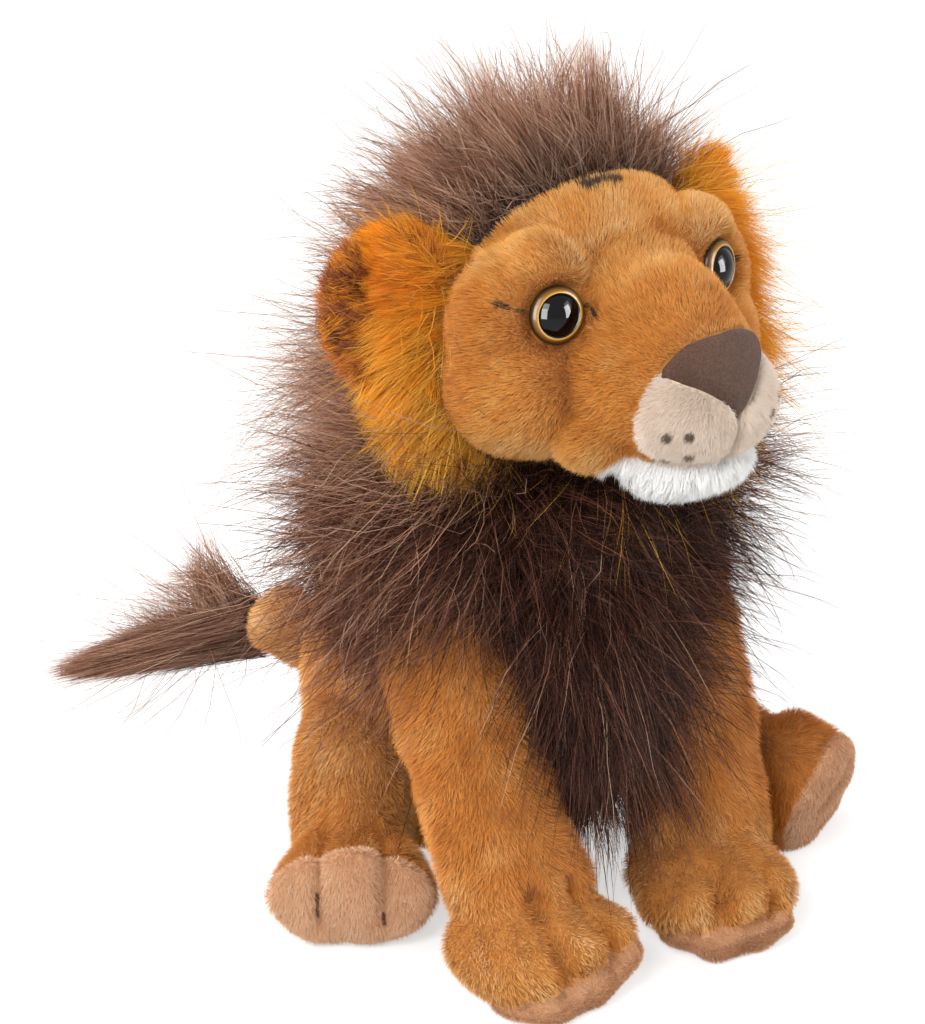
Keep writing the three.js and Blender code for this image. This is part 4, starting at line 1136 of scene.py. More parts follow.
def hind_frame(name, side):
    """A hind foot's sole centre, the way it faces and the line of its width."""
    centre, splay, dip, roll = HIND[name]
    splay, dip, roll = (math.radians(a) for a in (splay, dip, roll))
    facing = np.array([side * math.sin(splay) * math.cos(dip), -math.cos(splay) * math.cos(dip), -math.sin(dip)])
    width = Vector((math.cos(splay), side * math.sin(splay), 0))
    width.rotate(Quaternion(Vector(facing), -side * roll))
    return np.array(centre), facing, np.array(width)


def hind_shells(name, side, inset):
    """A hind leg's thigh and foot."""
    centre, facing, width = hind_frame(name, side)
    more = 3 + 5 * side
    low = UP * (2 + 2 * side)
    stations = [((side * 30, 6, 42), 46, 58), ((side * 48, -10, 40), 44, 52), (centre - facing * 28 - low, 44, 42),
                (centre - facing * 16, 55 + more, 40 + more), (centre - facing * 4, 61 + more, 40 + more)]
    return [stuffed(stations, (16, 9), width, inset)]


def sole_edge(tall):
    """How far ahead of a hind foot's centre its sole begins, by height on the foot."""
    return -4.0 - 3.0 * ramp(tall, -2, 14)


def toe_creases(wide, tall, ahead, soft):
    """The two pulled-in creases between a hind foot's toes, over its sole and up its top."""
    share = np.zeros(len(wide))
    for side in (-1, 1):
        lean = 10.0 - 3.5 * ramp(-ahead, 4, 22)
        run = ramp(tall, -10, -5) * ramp(ahead, -24, -18)
        share = np.maximum(share, bell(wide - side * lean, soft) * run)
    return share


class PLUSH_OT_torso(bpy.types.Operator):
    """Sews the body's cover, its pile and the neck tube."""
    bl_idname = "plush.torso"
    bl_label = "Body cover"

    def execute(self, context):
        sizes = context.scene.plush_body
        inset = sizes.inset / MM
        verts, quads = one_skin([stuffed(TORSO, (31, 7), ACROSS, inset)], 2.0, 2)
        normals = normals_of(verts, quads)
        pins = bell(verts[:, 0], 3.0) * 0.6 + bell(verts[:, 2] - 36, 2.5) * 0.3
        filled = puff(verts, quads, np.clip(pins, 0, 1), sizes.pressure, 2.5)
        filled[:, 2] = np.maximum(filled[:, 2], 1.2)
        push = 0.7 * ripple(filled, 22, 61) - 1.2 * bell(filled[:, 0], 1.8)
        push -= np.where(filled[:, 2] < 8, push, 0)
        verts = filled + normals * push[:, None]
        normals = normals_of(verts, quads)
        skins["torso"] = (verts, quads, normals)
        cover = cut_out("body_cover", verts, quads, np.ones(len(quads), bool), "gold_cloth")
        body_skin(cover, "torso", "torso_cover", "torso_stuffing")
        places, out = scatter(skins["torso"], FIBRES["body"], 62, lambda p: 0.15 + 0.85 * ramp(112 - p[:, 2], 0, 20))
        flow = np.array([0, 0.35, -1.0]) + 0.35 * drift(places, 24, (63, 64, 65))
        # Painted light: the body's near side below the chest, where the key lamp falls, gets a paler tone.
        near = ramp(-places[:, 0], 8, 40) * ramp(96 - places[:, 2], 0, 30)
        tone = 0.36 + 0.3 * near + 0.09 * ripple(places, 16, 66)
        pile = strands("body_pile", places, out, finish("gold_pile"), length=sizes.pile / MM, width=0.27, flow=flow,
                       tone=tone, seed=67, floor=0.15, **SHORT_PILE)
        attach(pile, "torso")
        neck, faces = stuffed(NECK, (10, 8), ACROSS)
        obj = raw_object("neck_cover_cloth", neck, faces)
        obj.data.materials.append(finish("mane_shade_cloth"))
        obj.data.polygons.foreach_set("use_smooth", np.ones(len(faces), bool))
        body_skin(obj, "neck", "neck_cover", "neck_stuffing")
        return {"FINISHED"}


class PLUSH_OT_front_legs(bpy.types.Operator):
    """Sews both front legs with their toes, soles and pile."""
    bl_idname = "plush.front_legs"
    bl_label = "Front legs"

    def execute(self, context):
        sizes = context.scene.plush_body
        inset = sizes.inset / MM
        for name, side in SIDES:
            heel, ahead, across, reach = paw_frame(name, side)
            verts, quads = one_skin(front_shells(name, side, inset), 1.6, 3)
            normals = normals_of(verts, quads)
            creases = np.zeros(len(verts))
            for path in toe_paths(name, side):
                creases = np.maximum(creases, bell(near_path(verts, path, 1), 2.3))
            creases *= ramp((verts - heel) @ ahead, reach - 30, reach - 16)
            rise = unit(ahead * 0.3 + across * (0.07 - 0.07 * side) + DOWN)
            seat = heel + ahead * (reach - 24.5) + UP * (7.0 - side)
            below = (verts - seat) @ rise
            pins = np.clip(creases + bell(below, 1.6) + bell(verts[:, 2] - 104, 4), 0, 1)
            filled = puff(verts, quads, pins, sizes.pressure, 2.2)
            push = -7.5 * creases + 0.8 * ripple(filled, 17, 71 + side)
            fore = (filled - heel) @ ahead - (reach - 16.5)
            toes = ramp(fore, 0, 12) * ramp(filled[:, 2], 4, 10)
            push += 0.6 * toes * (1 - creases) - 1.2 * bell(below, 1.3)
            push += (1.6 + 0.9 * ramp(fore, 0, 10)) * ramp(below, 0, 1.5)
            for k, (height, wide) in enumerate(((48, 2.6), (60, 3.2), (84, 3.6))):
                wave = filled[:, 2] - height + 4 * ripple(filled, 40, 80 + k + side)
                push -= 0.8 * bell(wave, wide) * ramp(ripple(filled, 30, 90 + k + side), -0.2, 0.5)
            verts = filled + normals * push[:, None]
            verts = relax(verts, quads, 1)
            verts[:, 2] = np.maximum(verts[:, 2], 0.9)
            normals = normals_of(verts, quads)
            skin = (verts, quads, normals)
            skins["front_leg_" + name] = skin
            middle = verts[quads].mean(1)
            is_sole = (middle - seat) @ rise > 0
            body = "front_leg_" + name
            cover = cut_out(body + "_cloth", verts, quads, ~is_sole, "gold_cloth")
            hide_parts(body + "_cover", body + "_stuffing")
            sole = cut_out(body + "_sole_cloth", verts, quads, is_sole, "sole_cloth")
            body_skin(sole, body, body + "_sole", fill=0.6)

            def upper(p):
                return ((p - seat) @ rise < -0.2).astype(float)

            places, out = scatter(skin, FIBRES["front leg"], 72 + side, upper)
            low = ramp(44 - places[:, 2], 0, 20)
            flow = np.stack([0 * low, -low * 1.2, -1.0 + 0.5 * low], 1)
            flow += 0.32 * drift(places, 20, (73 + side, 75 + side, 77 + side))
            tone = 0.5 + 0.09 * ripple(places, 18, 79 + side) + 0.05 * ripple(places, 6, 78 + side) + 0.26 * low
            crease = np.zeros(len(places))
            for path in toe_paths(name, side):
                crease = np.maximum(crease, bell(near_path(places, path, 1), 2.4))
            crease *= ramp((places - heel) @ ahead, reach - 30, reach - 16)
            # Painted shade in the creases between the toes.
            tone -= 0.8 * crease
            length = sizes.pile / MM * (1 - 0.8 * crease) * (1 - 0.2 * low)
            pile = strands(body + "_pile", places, out, finish("gold_pile"), length=length, width=0.24, flow=flow,
                           tone=tone, seed=81 + side, floor=0.2, **SHORT_PILE)

            def under(p):
                return ((p - seat) @ rise > 0.2).astype(float)

            places, out = scatter(skin, FIBRES["front sole"], 82 + side, under)
            flow = np.stack([0 * places[:, 0], -1.0 + 0 * places[:, 0], 0.3 + 0 * places[:, 0]], 1)
            nap = strands(body + "_sole_pile", places, out, finish("sole_pile"), length=sizes.sole_pile / MM,
                          flow=flow, tone=0.5 + 0.07 * ripple(places, 8, 85), seed=84 + side, **SOLE_NAP)
            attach(nap, body)
            for obj in (cover, pile):
                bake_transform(obj)
        return {"FINISHED"}


class PLUSH_OT_hind_legs(bpy.types.Operator):
    """Sews both hind legs with their soles, stitches and pile."""
    bl_idname = "plush.hind_legs"
    bl_label = "Hind legs"

    def execute(self, context):
        sizes = context.scene.plush_body
        inset = sizes.inset / MM
        for name, side in SIDES:
            centre, facing, width = hind_frame(name, side)
            high = np.cross(facing, width)
            high = high if high[2] > 0 else -high
            verts, quads = one_skin(hind_shells(name, side, inset), 1.6, 2)
            normals = normals_of(verts, quads)
            ahead = (verts - centre) @ facing
            wide = (verts - centre) @ width
            tall = (verts - centre) @ high
            creases = toe_creases(wide, tall, ahead, 1.7)
            edge = sole_edge(tall)
            rim = bell(ahead - edge, 1.3)
            pins = np.clip(rim + creases, 0, 1)
            filled = puff(verts, quads, pins, sizes.pressure, 2.2)
            push = -2.6 * creases + 0.6 * ripple(filled, 17, 101 + side) - 1.0 * rim
            push += 0.8 * ramp(ahead - edge, 0, 2.0)
            push -= 1.6 * bell(ahead + 29 + 2 * ripple(filled, 30, 105), 3.0) * ramp(tall, -6, 4)
            verts = relax(filled + normals * push[:, None], quads, 1)
            verts[:, 2] = np.maximum(verts[:, 2], 0.9)
            normals = normals_of(verts, quads)
            skin = (verts, quads, normals)
            skins["hind_leg_" + name] = skin
            middle = verts[quads].mean(1)
            is_sole = (middle - centre) @ facing > sole_edge((middle - centre) @ high)
            body = "hind_leg_" + name
            cover = cut_out(body + "_cloth", verts, quads, ~is_sole, "gold_cloth")
            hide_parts(body + "_cover", body + "_stuffing")
            sole = cut_out(body + "_sole_cloth", verts, quads, is_sole, "sole_cloth")
            body_skin(sole, body, body + "_sole", fill=0.6)

            def upper(p):
                return ((p - centre) @ facing < sole_edge((p - centre) @ high) - 0.2).astype(float)

            places, out = scatter(skin, FIBRES["hind leg"], 102 + side, upper)
            flow = facing * 0.8 + DOWN * 0.7 + 0.3 * drift(places, 20, (103 + side, 106 + side, 107 + side))
            # Painted light: the right hind leg, on the side the key lamp lights, gets a paler tone than the left.
            tone = 0.58 - 0.14 * side + 0.09 * ripple(places, 18, 108 + side) + 0.05 * ripple(places, 6, 110 + side)
            wide = (places - centre) @ width
            tall = (places - centre) @ high
            ahead = (places - centre) @ facing
            # Painted shade in the creases between the toes.
            tone -= 0.25 * toe_creases(wide, tall, ahead, 1.1)
            pile = strands(body + "_pile", places, out, finish("gold_pile"), length=sizes.pile / MM, width=0.24,
                           flow=flow, tone=tone, seed=109 + side, floor=0.2, **SHORT_PILE)

            def under(p):
                return ((p - centre) @ facing > sole_edge((p - centre) @ high) + 0.2).astype(float)

            places, out = scatter(skin, FIBRES["hind sole"], 112 + side, under)
            wide, tall, ahead = ((places - centre) @ way for way in (width, high, facing))
            # Painted shade in the creases between the toes; the slits below are dark stitches.
            tone = 0.66 + 0.07 * ripple(places, 8, 115) - 0.3 * toe_creases(wide, tall, ahead, 0.9)
            slit = (np.abs(wide + 10.5) < 0.8) & (tall > -4) & (tall < 4)
            slit |= (np.abs(wide - 9.5) < 0.8) & (tall > -7) & (tall < -2.5)
            tone = np.where(slit & (ahead > -4), -1.0, tone)
            nap = strands(body + "_sole_pile", places, out, finish("sole_pile"), length=sizes.sole_pile / MM,
                          flow=-high, tone=tone, seed=114 + side, **SOLE_NAP)
            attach(nap, body)
            for obj in (cover, pile):
                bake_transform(obj)
        return {"FINISHED"}


class PLUSH_OT_tail(bpy.types.Operator):
    """Sews the tail and knots its tuft of long hair."""
    bl_idname = "plush.tail"
    bl_label = "Tail and tuft"

    def execute(self, context):
        sizes = context.scene.plush_body
        inset = sizes.inset / MM
        verts, quads = one_skin([stuffed(TAIL, (12, 11), UP, inset)], 1.2, 2)
        normals = normals_of(verts, quads)
        verts = verts + normals * (0.6 * ripple(verts, 14, 121))[:, None]
        normals = normals_of(verts, quads)
        skin = (verts, quads, normals)
        cover = cut_out("tail_cloth", verts, quads, np.ones(len(quads), bool), "gold_cloth")
        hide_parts("tail_cover", "tail_stuffing")
        places, out = scatter(skin, FIBRES["tail"], 122)
        flow = np.array([-0.62, 0.62, 0.4]) + 0.25 * drift(places, 18, (123, 124, 125))
        # Painted light: the tail's pile gets a much paler tone than the body's, where the back lamp falls on it.
        pile = strands("tail_pile", places, out, finish("gold_pile"), length=sizes.pile / MM, width=0.27, flow=flow,
                       rise=0.5, bend=0.5, wander=0.16, cell=2.0, pull=0.4, parts=2,
                       tone=0.82 + 0.08 * ripple(places, 12, 126), tone_spread=0.07, seed=127, floor=0.2)
        for obj in (cover, pile):
            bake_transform(obj)
        rng = np.random.default_rng(128)
        n = FIBRES["tuft"]
        way = unit(TUFT_TIP - TUFT_ROOT)
        side = unit(np.cross(way, UP))
        high = np.cross(side, way)
        share = rng.uniform(0, 1, n) ** 1.3
        turn = rng.uniform(0, 2 * math.pi, n)
        radius = np.sqrt(rng.uniform(0, 1, n)) * (12.5 - 9.0 * share)
        out = np.cos(turn)[:, None] * side * 0.8 + np.sin(turn)[:, None] * high
        places = TUFT_ROOT + way * (share * 52 - 4)[:, None] + out * radius[:, None]
        goal = TUFT_TIP + out * (radius * 0.25)[:, None] + rng.normal(size=(n, 3)) * 0.9
        flow = unit(goal - places) + rng.normal(size=(n, 3)) * 0.012
        lock = (rng.uniform(size=n) < 0.07) & (share < 0.5)
        flow = np.where(lock[:, None], unit(TUFT_LOCK - places) + rng.normal(size=(n, 3)) * 0.05, flow)
        length = np.linalg.norm(goal - places, axis=1) * (0.25 + 0.75 * rng.uniform(0, 1, n) ** 1.6)
        length = np.where(lock, np.linalg.norm(TUFT_LOCK - places, axis=1) * 0.95,
                          np.minimum(length, context.scene.plush_mane.tuft / MM * 1.8))
        flow = unit(flow)
        wall = unit(out - flow * (out * flow).sum(1, keepdims=True))
        # Painted light: the tuft's hair gets a paler tone than the collar's.
        tuft = strands("tail_tuft_hair", places, wall, finish("mane_hair"), length=length,
                       width=context.scene.plush_mane.thickness / MM, flow=flow, rise=0.02, bend=0.3, droop=0.0,
                       wander=0.02, cell=4.0, pull=0.4, parts=4, tone=0.78, tone_spread=0.2, stray=0.015, curl=0.06,
                       seed=129, floor=0.3, least=-1.0)
        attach(tuft, "tail")
        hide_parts("tail_tuft")
        return {"FINISHED"}


# ---- ears, ruffs and mane ----

EAR_AT = np.array([60.0, 3.0, 10.0])
RUFF = [((43, 2, 28), 12, 12), ((52, 1, 6), 24, 24), ((47, -2, -21), 25, 25), ((28, -9, -40), 19, 19)]
COLLAR = [((0, -30, 100), 118, 104), ((0, -40, 128), 150, 126), ((0, -42, 150), 138, 118)]
BIB = [((0, -78, 112), 60, 30), ((-3, -80, 78), 44, 28), ((-4, -80, 52), 24, 18)]


def ear_turn(points, side):
    """Leans and sweeps an ear's flap to its place on the head."""
    lean, sweep = side * math.radians(12), side * math.radians(24)
    x, y, z = points.T
    x, z = x * math.cos(lean) + z * math.sin(lean), -x * math.sin(lean) + z * math.cos(lean)
    x, y = x * math.cos(sweep) - y * math.sin(sweep), x * math.sin(sweep) + y * math.cos(sweep)
    return np.stack([x, y, z], 1)


class PLUSH_OT_ears(bpy.types.Operator):
    """Sews both ears: a rust back and a front filled with long orange pile."""
    bl_idname = "plush.ears"
    bl_label = "Ears"

    def execute(self, context):
        sizes = context.scene.plush_head
        for name, side in SIDES:
            points, faces = egg((0, 0, 0), (18.5, 4.6, 21.5), 56, 36)
            verts, quads = one_skin([(points, faces)], 1.1, 2)
            hollow = bell(np.hypot(verts[:, 0] / 12, (verts[:, 2] + 2) / 15), 1.0)
            front = ramp(-verts[:, 1], -1, 3)
            verts[:, 1] += front * hollow * 5.2
            verts[:, 1] += (verts[:, 0] / 19.5) ** 2 * -2.5
            normals = normals_of(verts, quads)
            is_front = (normals[quads].mean(1)[:, 1] < -0.15)
            at = EAR_AT * [side, 1, 1]
            body = "ear_" + name

            def world(p, side=side, at=at):
                return to_world(ear_turn(p, side) + at)

            back = cut_out("ear_back_cloth_" + name, verts, quads, ~is_front, "ear_cloth", world)
            body_skin(back, body, "ear_back_" + name, fill=0.5)
            front_panel = cut_out("ear_front_cloth_" + name, verts, quads, is_front, "ear_cloth", world)
            body_skin(front_panel, body, "ear_lining_" + name, fill=0.5)
            skin = (verts, quads, normals)

            def outer(p, side=side):
                rim = bell(np.hypot(p[:, 0] / 19, p[:, 2] / 23) - 1, 0.15)
                return 0.15 + 0.6 * ramp(side * p[:, 0], -4, 6) + ramp(p[:, 1], -3, 1) + rim

            places, out = scatter(skin, FIBRES["ear back"], 141 + side, outer)
            edge = bell(np.hypot(places[:, 0] / 19.5, places[:, 2] / 23.5) - 1, 0.2)
            flow = np.stack([places[:, 0], 0 * edge, places[:, 2] + 10], 1)
            wall = ear_turn(out, side)
            pile = strands("ear_back_pile_" + name, world(places), turn_out(wall), finish("ear_pile"),
                           length=5.5 + 2.0 * edge, width=0.27, flow=turn_out(ear_turn(flow, side)), rise=0.4,
                           bend=0.6, wander=0.2, cell=2.4, pull=0.45, parts=2,
                           tone=0.48 + 0.22 * ripple(places, 9, 144), seed=142 + side)
            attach(pile, body)

            def inner(p):
                root = ramp(4 - side * p[:, 0], 0, 10)
                return (p[:, 1] < 0.5) * (0.12 + root)

            places, out = scatter(skin, FIBRES["ear front"], 145 + side, inner)
            flow = np.stack([side * (14 + 0 * places[:, 0]), -6 + 0 * places[:, 0], places[:, 2] * 0.5 + 5], 1)
            wall = ear_turn(out, side)
            length = sizes.ear_pile / MM * (0.6 + 0.1 * side + 0.6 * ramp(6 - side * places[:, 0], 0, 18))
            long_pile = strands("ear_front_pile_" + name, world(places), turn_out(wall), finish("ruff_pile"),
                                length=length, width=0.26, flow=turn_out(ear_turn(flow, side)),
                                rise=0.42, bend=0.9, droop=0.1,
                                wander=0.15, cell=5.0, pull=0.6, parts=4, tone=0.5 + 0.12 * ripple(places, 9, 146),
                                tone_spread=0.1, stray=0.05, seed=147 + side)
            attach(long_pile, body)
        return {"FINISHED"}


class PLUSH_OT_ruffs(bpy.types.Operator):
    """Sews the long orange ruff behind each cheek."""
    bl_idname = "plush.ruffs"
    bl_label = "Cheek ruffs"

    def execute(self, context):
        sizes = context.scene.plush_head
        for name, side in SIDES:
            stations = [((side * x, y, z), w - 9, d - 9) for (x, y, z), w, d in RUFF]
            verts, quads = one_skin([stuffed(stations, (6, 6), np.array([0, 1.0, 0]), 0.5)], 1.4, 3)
            normals = normals_of(verts, quads)
            skin = (verts, quads, normals)
            core = cut_out("ruff_cloth_" + name, verts, quads, np.ones(len(quads), bool), "ruff_cloth", to_world)
            body_skin(core, "head", "ruff_" + name, fill=0.5)
            head_tree = tree_of(skins["head"])

            def by_seam(p, side=side):
                beside = (np.sign(p[:, 0]) == side) & (np.abs(seam_depth(p) - 3.2) < 2.8)
                return (beside & (p[:, 2] < 27) & (p[:, 2] > -46)).astype(float)

            places, out = scatter(skin, FIBRES["ruff"], 151 + side)
            seam_points, seam_out = scatter(skins["head"], FIBRES["ruff seam"] + 2500 * side, 153 + side, by_seam)
            keep = (depth_in(head_tree, places) > 0.3) & (seam_depth(places) > -4)
            places, out = np.vstack([places[keep], seam_points]), np.vstack([out[keep], seam_out])
            away = places * [1, 0, 1] + [0, 0, 4]
            out = unit(unit(away) + out * 0.35 - [0, 0.2 * side, 0])
            flow = np.stack([places[:, 0] * 0.7, 4 - 14 * side + 0 * places[:, 0], places[:, 2] * 0.5 - 16], 1)
            flow = unit(flow) + 0.2 * drift(places, 16, (155 + side, 157 + side, 159 + side))
            length = sizes.ruff_pile / MM * (0.98 + 0.3 * side) * (0.75 + 0.3 * ramp(-places[:, 2], -30, 10))
            pile = strands("ruff_pile_" + name, to_world(places), turn_out(out), finish("ruff_pile"),
                           length=length, width=0.26, flow=turn_out(flow),
                           rise=0.62, bend=0.5, droop=0.2, wander=0.17, cell=5.0, pull=0.6,
                           parts=4, tone=0.74 + 0.14 * ripple(places, 10, 161), tone_spread=0.1, stray=0.05, curl=0.08,
                           seed=162 + side)
            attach(pile, "head")
        return {"FINISHED"}


class PLUSH_OT_crown(bpy.types.Operator):
    """Knots the mane's crown over the back and top of the head."""
    bl_idname = "plush.crown"
    bl_label = "Mane crown"

    def execute(self, context):
        sizes = context.scene.plush_mane
        skin = skins["head"]

        def behind(p):
            by_ear = ramp(np.abs(p[:, 0]), 36, 43) * ramp(34 - p[:, 2], 0, 6)
            return ((seam_depth(p) > 1.8) & (p[:, 1] > -18 + 28 * by_ear) & (p[:, 2] > -44)).astype(float)

        for k in range(3):
            places, out = scatter(skin, FIBRES["crown"], 171 + k, behind)
            top = ramp(places[:, 2], 10, 45)
            flow = np.stack([places[:, 0] * 0.9, 14 + places[:, 1] * 0.4, 6 - 14 * (1 - top)], 1)
            out = unit(out + np.array([0, 0.35, 0.05]) * bell(seam_depth(places), 9.0)[:, None] * 2)
            flow = unit(flow) + 0.3 * drift(places, 24, (174, 175, 176))
            length = sizes.crown / MM * (0.6 + 0.04 * top + 0.5 * ramp(-places[:, 2], -5, 25))
            length *= 1 + 0.3 * top * ripple(places, 15, 170)
            # Painted light: the crown's hair, on top of the head, gets a paler tone than the collar's.
            hair = strands("mane_crown_hair_%d" % (k + 1), to_world(places), turn_out(out), finish("mane_hair"),
                           length=length, width=sizes.thickness / MM, flow=turn_out(flow), rise=0.84, bend=0.3,
                           droop=0.02, wander=0.3, cell=7.0, pull=0.6, parts=5, tone=0.86,
                           tone_spread=0.2, stray=0.15, curl=0.22, seed=177 + k, taper=0.6,
                           uneven=0.8 - 0.2 * ramp(-places[:, 2], -5, 25), tuft=24.0)
            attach(hair, "head")
        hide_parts("mane_crown")
        return {"FINISHED"}


class PLUSH_OT_collar(bpy.types.Operator):
    """Knots the mane's collar and bib round the neck and down the chest."""
    bl_idname = "plush.collar"
    bl_label = "Mane collar and bib"

    def execute(self, context):
        sizes = context.scene.plush_mane
        head = (to_world(skins["head"][0]), skins["head"][1])
        blockers = [tree_of(head)]
        verts, quads = one_skin([stuffed([(a, w, d) for a, w, d in COLLAR], (14, 12), ACROSS, 24.0)], 2.5, 3)
        normals = normals_of(verts, quads)
        pad = cut_out("mane_collar_cloth", verts, quads, np.ones(len(quads), bool), "mane_shade_cloth")
        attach(pad, "torso")
        skin = (verts, quads, normals)
        for k in range(3):
            places, out = scatter(skin, FIBRES["collar"], 181 + k)
            radial = places - np.array([0, -42, 0])
            radial[:, 2] = 0
            radial = unit(radial)
            front = ramp(-radial[:, 1], 0.2, 0.8)
            fall = 0.9 * ramp(148 - places[:, 2], 0, 34) - 0.25 + 0.3 * front
            flow = radial * (1.0 - 0.45 * front)[:, None] + DOWN * fall[:, None]
            flow = flow + 0.3 * drift(places, 26, (184, 185, 186))
            keep = depth_in(blockers[0], places) > 1.0
            keep &= ~((places[:, 0] > 24) & (places[:, 2] < 118 + 0.3 * (places[:, 0] - 24)) & (places[:, 1] < -40))
            places, out, flow, front = places[keep], out[keep], flow[keep], front[keep]
            rear = ramp(-places[:, 0], 25, 48) * ramp(128 - places[:, 2], 0, 22) * ramp(places[:, 1], -70, -50)
            # Painted shade: the collar's hair darkens toward the front of the neck, under the head.
            hair = strands("mane_collar_hair_%d" % (k + 1), places, unit(out + 0.4 * unit(flow)), finish("mane_hair"),
                           length=sizes.collar / MM * (1 - 0.2 * front + 0.4 * rear),
                           width=sizes.thickness / MM, flow=flow, rise=0.6, bend=0.5,
                           droop=0.16 + 0.3 * rear[:, None], wander=0.38, cell=7.0, pull=0.6, parts=5,
                           tone=0.55 - 0.36 * front,
                           tone_spread=0.26, stray=0.15, curl=0.25, seed=187 + k, taper=0.6, uneven=0.55, tuft=20.0)
            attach(hair, "torso")
        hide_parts("mane_collar")
        stations = [(a, w - 18, d - 12) for a, w, d in BIB]
        verts, quads = one_skin([stuffed(stations, (8, 8), ACROSS, 0.0)], 1.8, 3)
        normals = normals_of(verts, quads)
        pad = cut_out("mane_bib_cloth", verts, quads, np.ones(len(quads), bool), "mane_shade_cloth")
        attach(pad, "torso")
        places, out = scatter((verts, quads, normals), FIBRES["bib"], 191)
        flow = DOWN + np.stack([places[:, 0] * 0.008, -0.12 + 0 * places[:, 0], 0 * places[:, 0]], 1)
        flow = flow + 0.22 * drift(places, 22, (192, 193, 194))
        # Painted shade: the bib's hair, on the chest under the head, gets a dark tone.
        hair = strands("mane_bib_hair", places, out, finish("mane_hair"),
                       length=sizes.bib / MM * (0.4 + 0.6 * ramp(places[:, 2], 42, 84)),
                       width=sizes.thickness / MM, flow=flow,
                       rise=0.35, bend=0.8, droop=0.3, wander=0.36, cell=6.0,
                       pull=0.6, parts=5, tone=0.2, tone_spread=0.28, stray=0.15, curl=0.24, seed=195, taper=0.6,
                       uneven=0.5)
        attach(hair, "torso")
        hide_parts("mane_bib")
        return {"FINISHED"}


class PLUSH_OT_carried(bpy.types.Operator):
    """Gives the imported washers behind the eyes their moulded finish."""
    bl_idname = "plush.carried"
    bl_label = "Lock washers"

    def execute(self, context):
        material = cloth_material("washer_plastic", 0xDAD7CE, 0xEDEBE4, scale=400.0, roughness=0.45, bump=0.1)
        for name, _ in SIDES:
            for slot in frame["nodes"]["eye_washer_" + name].material_slots:
                slot.material = material
        return {"FINISHED"}


# ---- stage ----

CAMERA_AT = 1050.0
CAMERA_TURN = (math.radians(-28), math.radians(21))
CAMERA_FOCUS = 3181
PICTURE_TALL = 1024
SENSOR = 36
FLOOR_HALF = 3000
FLOOR_GREY = 0.55
SKY_LEVEL = 0.62
# Each lamp's name, place, size in metres and power in watts.
LAMPS = [("key", (-0.92, -0.8, 1.05), (0.6, 0.6), 17.0), ("fill", (0.95, -0.85, 0.75), (0.6, 0.6), 5.5),
         ("back", (-0.85, 0.6, 0.85), (0.8, 0.5), 12.0)]
# Window panes that only show as glints in the eyes and the nose.
PANES = [("window", (-0.86, -0.70, 0.33), (0.42, 0.75), 30.0), ("window_two", (0.66, -0.80, 0.33), (0.42, 0.75), 30.0)]


def add_lamp(name, place, aim, size, power):
    """A soft square lamp that looks at a point."""
    lamp = bpy.data.lights.new(name, "AREA")
    lamp.shape = "RECTANGLE"
    lamp.size, lamp.size_y = size
    lamp.energy = power
    obj = bpy.data.objects.new(name, lamp)
    bpy.context.scene.collection.objects.link(obj)
    obj.location = place
    obj.rotation_euler = (Vector(aim) - Vector(place)).to_track_quat("-Z", "Y").to_euler()
    return obj


def seen_by(tree, first, *others):
    """A socket that is 1 for any of these kinds of ray."""
    path = tree.nodes.new("ShaderNodeLightPath")
    seen = path.outputs[first]
    for ray in others:
        node = tree.nodes.new("ShaderNodeMath")
        node.operation = "MAXIMUM"
        tree.links.new(seen, node.inputs[0])
        tree.links.new(path.outputs[ray], node.inputs[1])
        seen = node.outputs[0]
    return seen


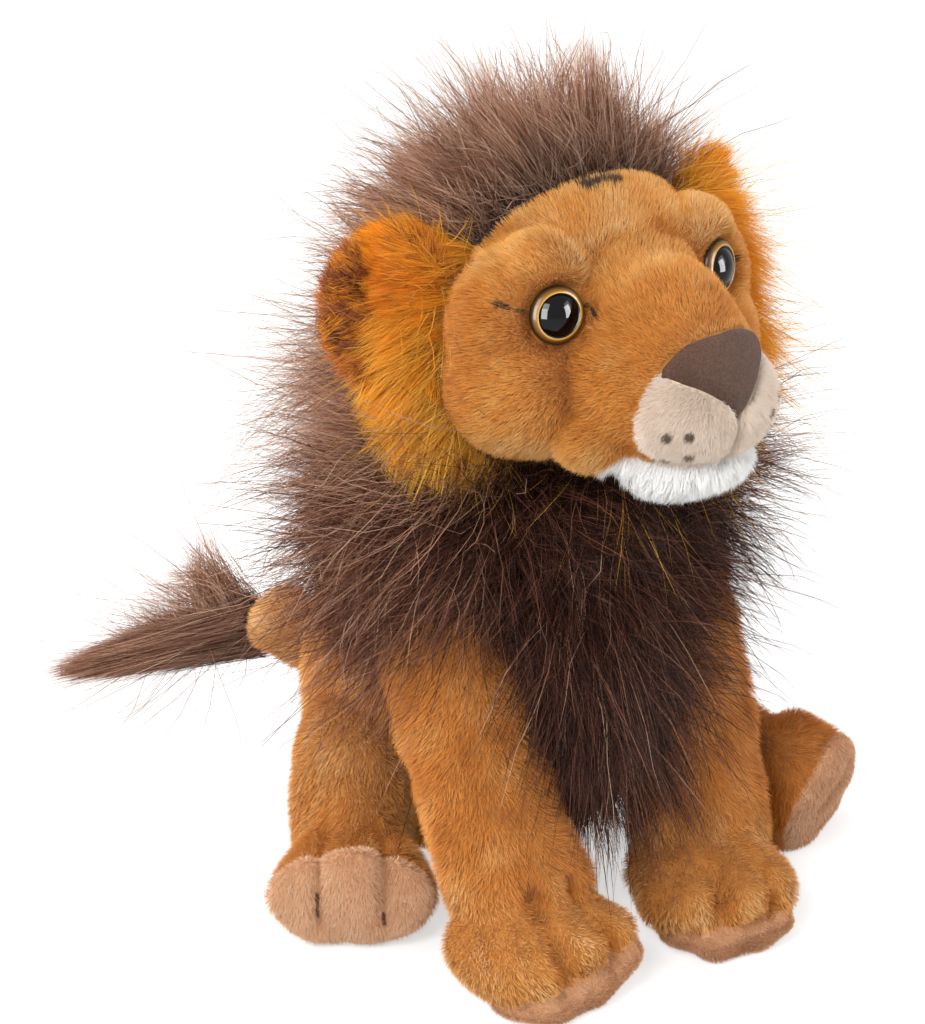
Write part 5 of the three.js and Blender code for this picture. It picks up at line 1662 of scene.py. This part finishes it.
class PLUSH_OT_stage(bpy.types.Operator):
    """Sets the camera, the pale floor, the soft lamps and the white surroundings."""
    bl_idname = "plush.stage"
    bl_label = "Studio"

    def execute(self, context):
        scene = context.scene
        scene.view_settings.view_transform = "Standard"
        azimuth, elevation = CAMERA_TURN
        away = Vector((math.sin(azimuth) * math.cos(elevation), -math.cos(azimuth) * math.cos(elevation),
                       math.sin(elevation)))
        right = Vector((math.cos(azimuth), math.sin(azimuth), 0))
        up = away.cross(right)
        target = (right * -3.6 + up * 104.0) * MM
        camera = bpy.data.cameras.new("camera")
        camera.sensor_width = SENSOR
        camera.lens = SENSOR * CAMERA_FOCUS / PICTURE_TALL
        camera.clip_start = 0.01
        obj = bpy.data.objects.new("camera", camera)
        scene.collection.objects.link(obj)
        obj.location = target + away * (CAMERA_AT * MM)
        obj.rotation_euler = away.to_track_quat("Z", "Y").to_euler()
        scene.camera = obj
        corners = [(x * FLOOR_HALF, y * FLOOR_HALF, 0) for x, y in ((-1, -1), (1, -1), (1, 1), (-1, 1))]
        floor = raw_object("floor", np.array(corners), [(0, 1, 2, 3)])
        material, tree, out = new_material("studio_floor")
        surface = tree.nodes.new("ShaderNodeBsdfDiffuse")
        surface.inputs["Color"].default_value = grey(FLOOR_GREY)
        white = tree.nodes.new("ShaderNodeEmission")
        level = tree.nodes.new("ShaderNodeMath")
        level.operation = "MULTIPLY"
        level.inputs[1].default_value = SKY_LEVEL
        tree.links.new(seen_by(tree, "Is Camera Ray", "Is Glossy Ray", "Is Transmission Ray"), level.inputs[0])
        tree.links.new(level.outputs[0], white.inputs["Strength"])
        both = tree.nodes.new("ShaderNodeAddShader")
        tree.links.new(surface.outputs[0], both.inputs[0])
        tree.links.new(white.outputs[0], both.inputs[1])
        tree.links.new(both.outputs[0], out.inputs["Surface"])
        floor.data.materials.append(material)
        world = bpy.data.worlds.new("surroundings")
        world.use_nodes = True
        tree = world.node_tree
        tree.nodes.clear()
        out = tree.nodes.new("ShaderNodeOutputWorld")
        dim = tree.nodes.new("ShaderNodeBackground")
        dim.inputs["Color"].default_value = grey(1.0)
        dim.inputs["Strength"].default_value = SKY_LEVEL
        white = tree.nodes.new("ShaderNodeBackground")
        white.inputs["Color"].default_value = grey(1.0)
        mix = tree.nodes.new("ShaderNodeMixShader")
        tree.links.new(seen_by(tree, "Is Camera Ray", "Is Glossy Ray"), mix.inputs[0])
        tree.links.new(dim.outputs[0], mix.inputs[1])
        tree.links.new(white.outputs[0], mix.inputs[2])
        tree.links.new(mix.outputs[0], out.inputs["Surface"])
        scene.world = world
        aim = (0, -0.03, 0.13)
        for name, place, size, power in LAMPS:
            add_lamp(name, place, aim, size, power)
        for name, place, size, power in PANES:
            pane = add_lamp(name, place, (0, -0.09, 0.2), size, power)
            pane.visible_diffuse = False
        return {"FINISHED"}


class PLUSH_PT_panel(bpy.types.Panel):
    """The steps of the plush lion, in order."""
    bl_label = "Plush lion"
    bl_idname = "PLUSH_PT_panel"
    bl_space_type = "VIEW_3D"
    bl_region_type = "UI"
    bl_category = "Plush"

    def draw(self, context):
        for group in (context.scene.plush_head, context.scene.plush_body, context.scene.plush_mane):
            for key in group.__annotations__:
                self.layout.prop(group, key)
        for step in STEPS:
            self.layout.operator(step.bl_idname)


STEPS = [PLUSH_OT_stage, PLUSH_OT_torso, PLUSH_OT_front_legs, PLUSH_OT_hind_legs, PLUSH_OT_tail, PLUSH_OT_head,
         PLUSH_OT_nose, PLUSH_OT_eyes, PLUSH_OT_ears, PLUSH_OT_ruffs, PLUSH_OT_crown, PLUSH_OT_collar,
         PLUSH_OT_carried]
CLASSES = [PlushHead, PlushMane, PlushBody] + STEPS + [PLUSH_PT_panel]


def register():
    """Adds the sizes, steps and panel."""
    for cls in CLASSES:
        bpy.utils.register_class(cls)
    bpy.types.Scene.plush_head = bpy.props.PointerProperty(type=PlushHead)
    bpy.types.Scene.plush_mane = bpy.props.PointerProperty(type=PlushMane)
    bpy.types.Scene.plush_body = bpy.props.PointerProperty(type=PlushBody)


def unregister():
    """Takes them away again."""
    for key in ("plush_head", "plush_mane", "plush_body"):
        delattr(bpy.types.Scene, key)
    for cls in reversed(CLASSES):
        bpy.utils.unregister_class(cls)


def main():
    """Makes every piece in order."""
    register()
    for step in STEPS:
        group, name = step.bl_idname.split(".")
        getattr(getattr(bpy.ops, group), name)()


if __name__ == "__main__":
    main()
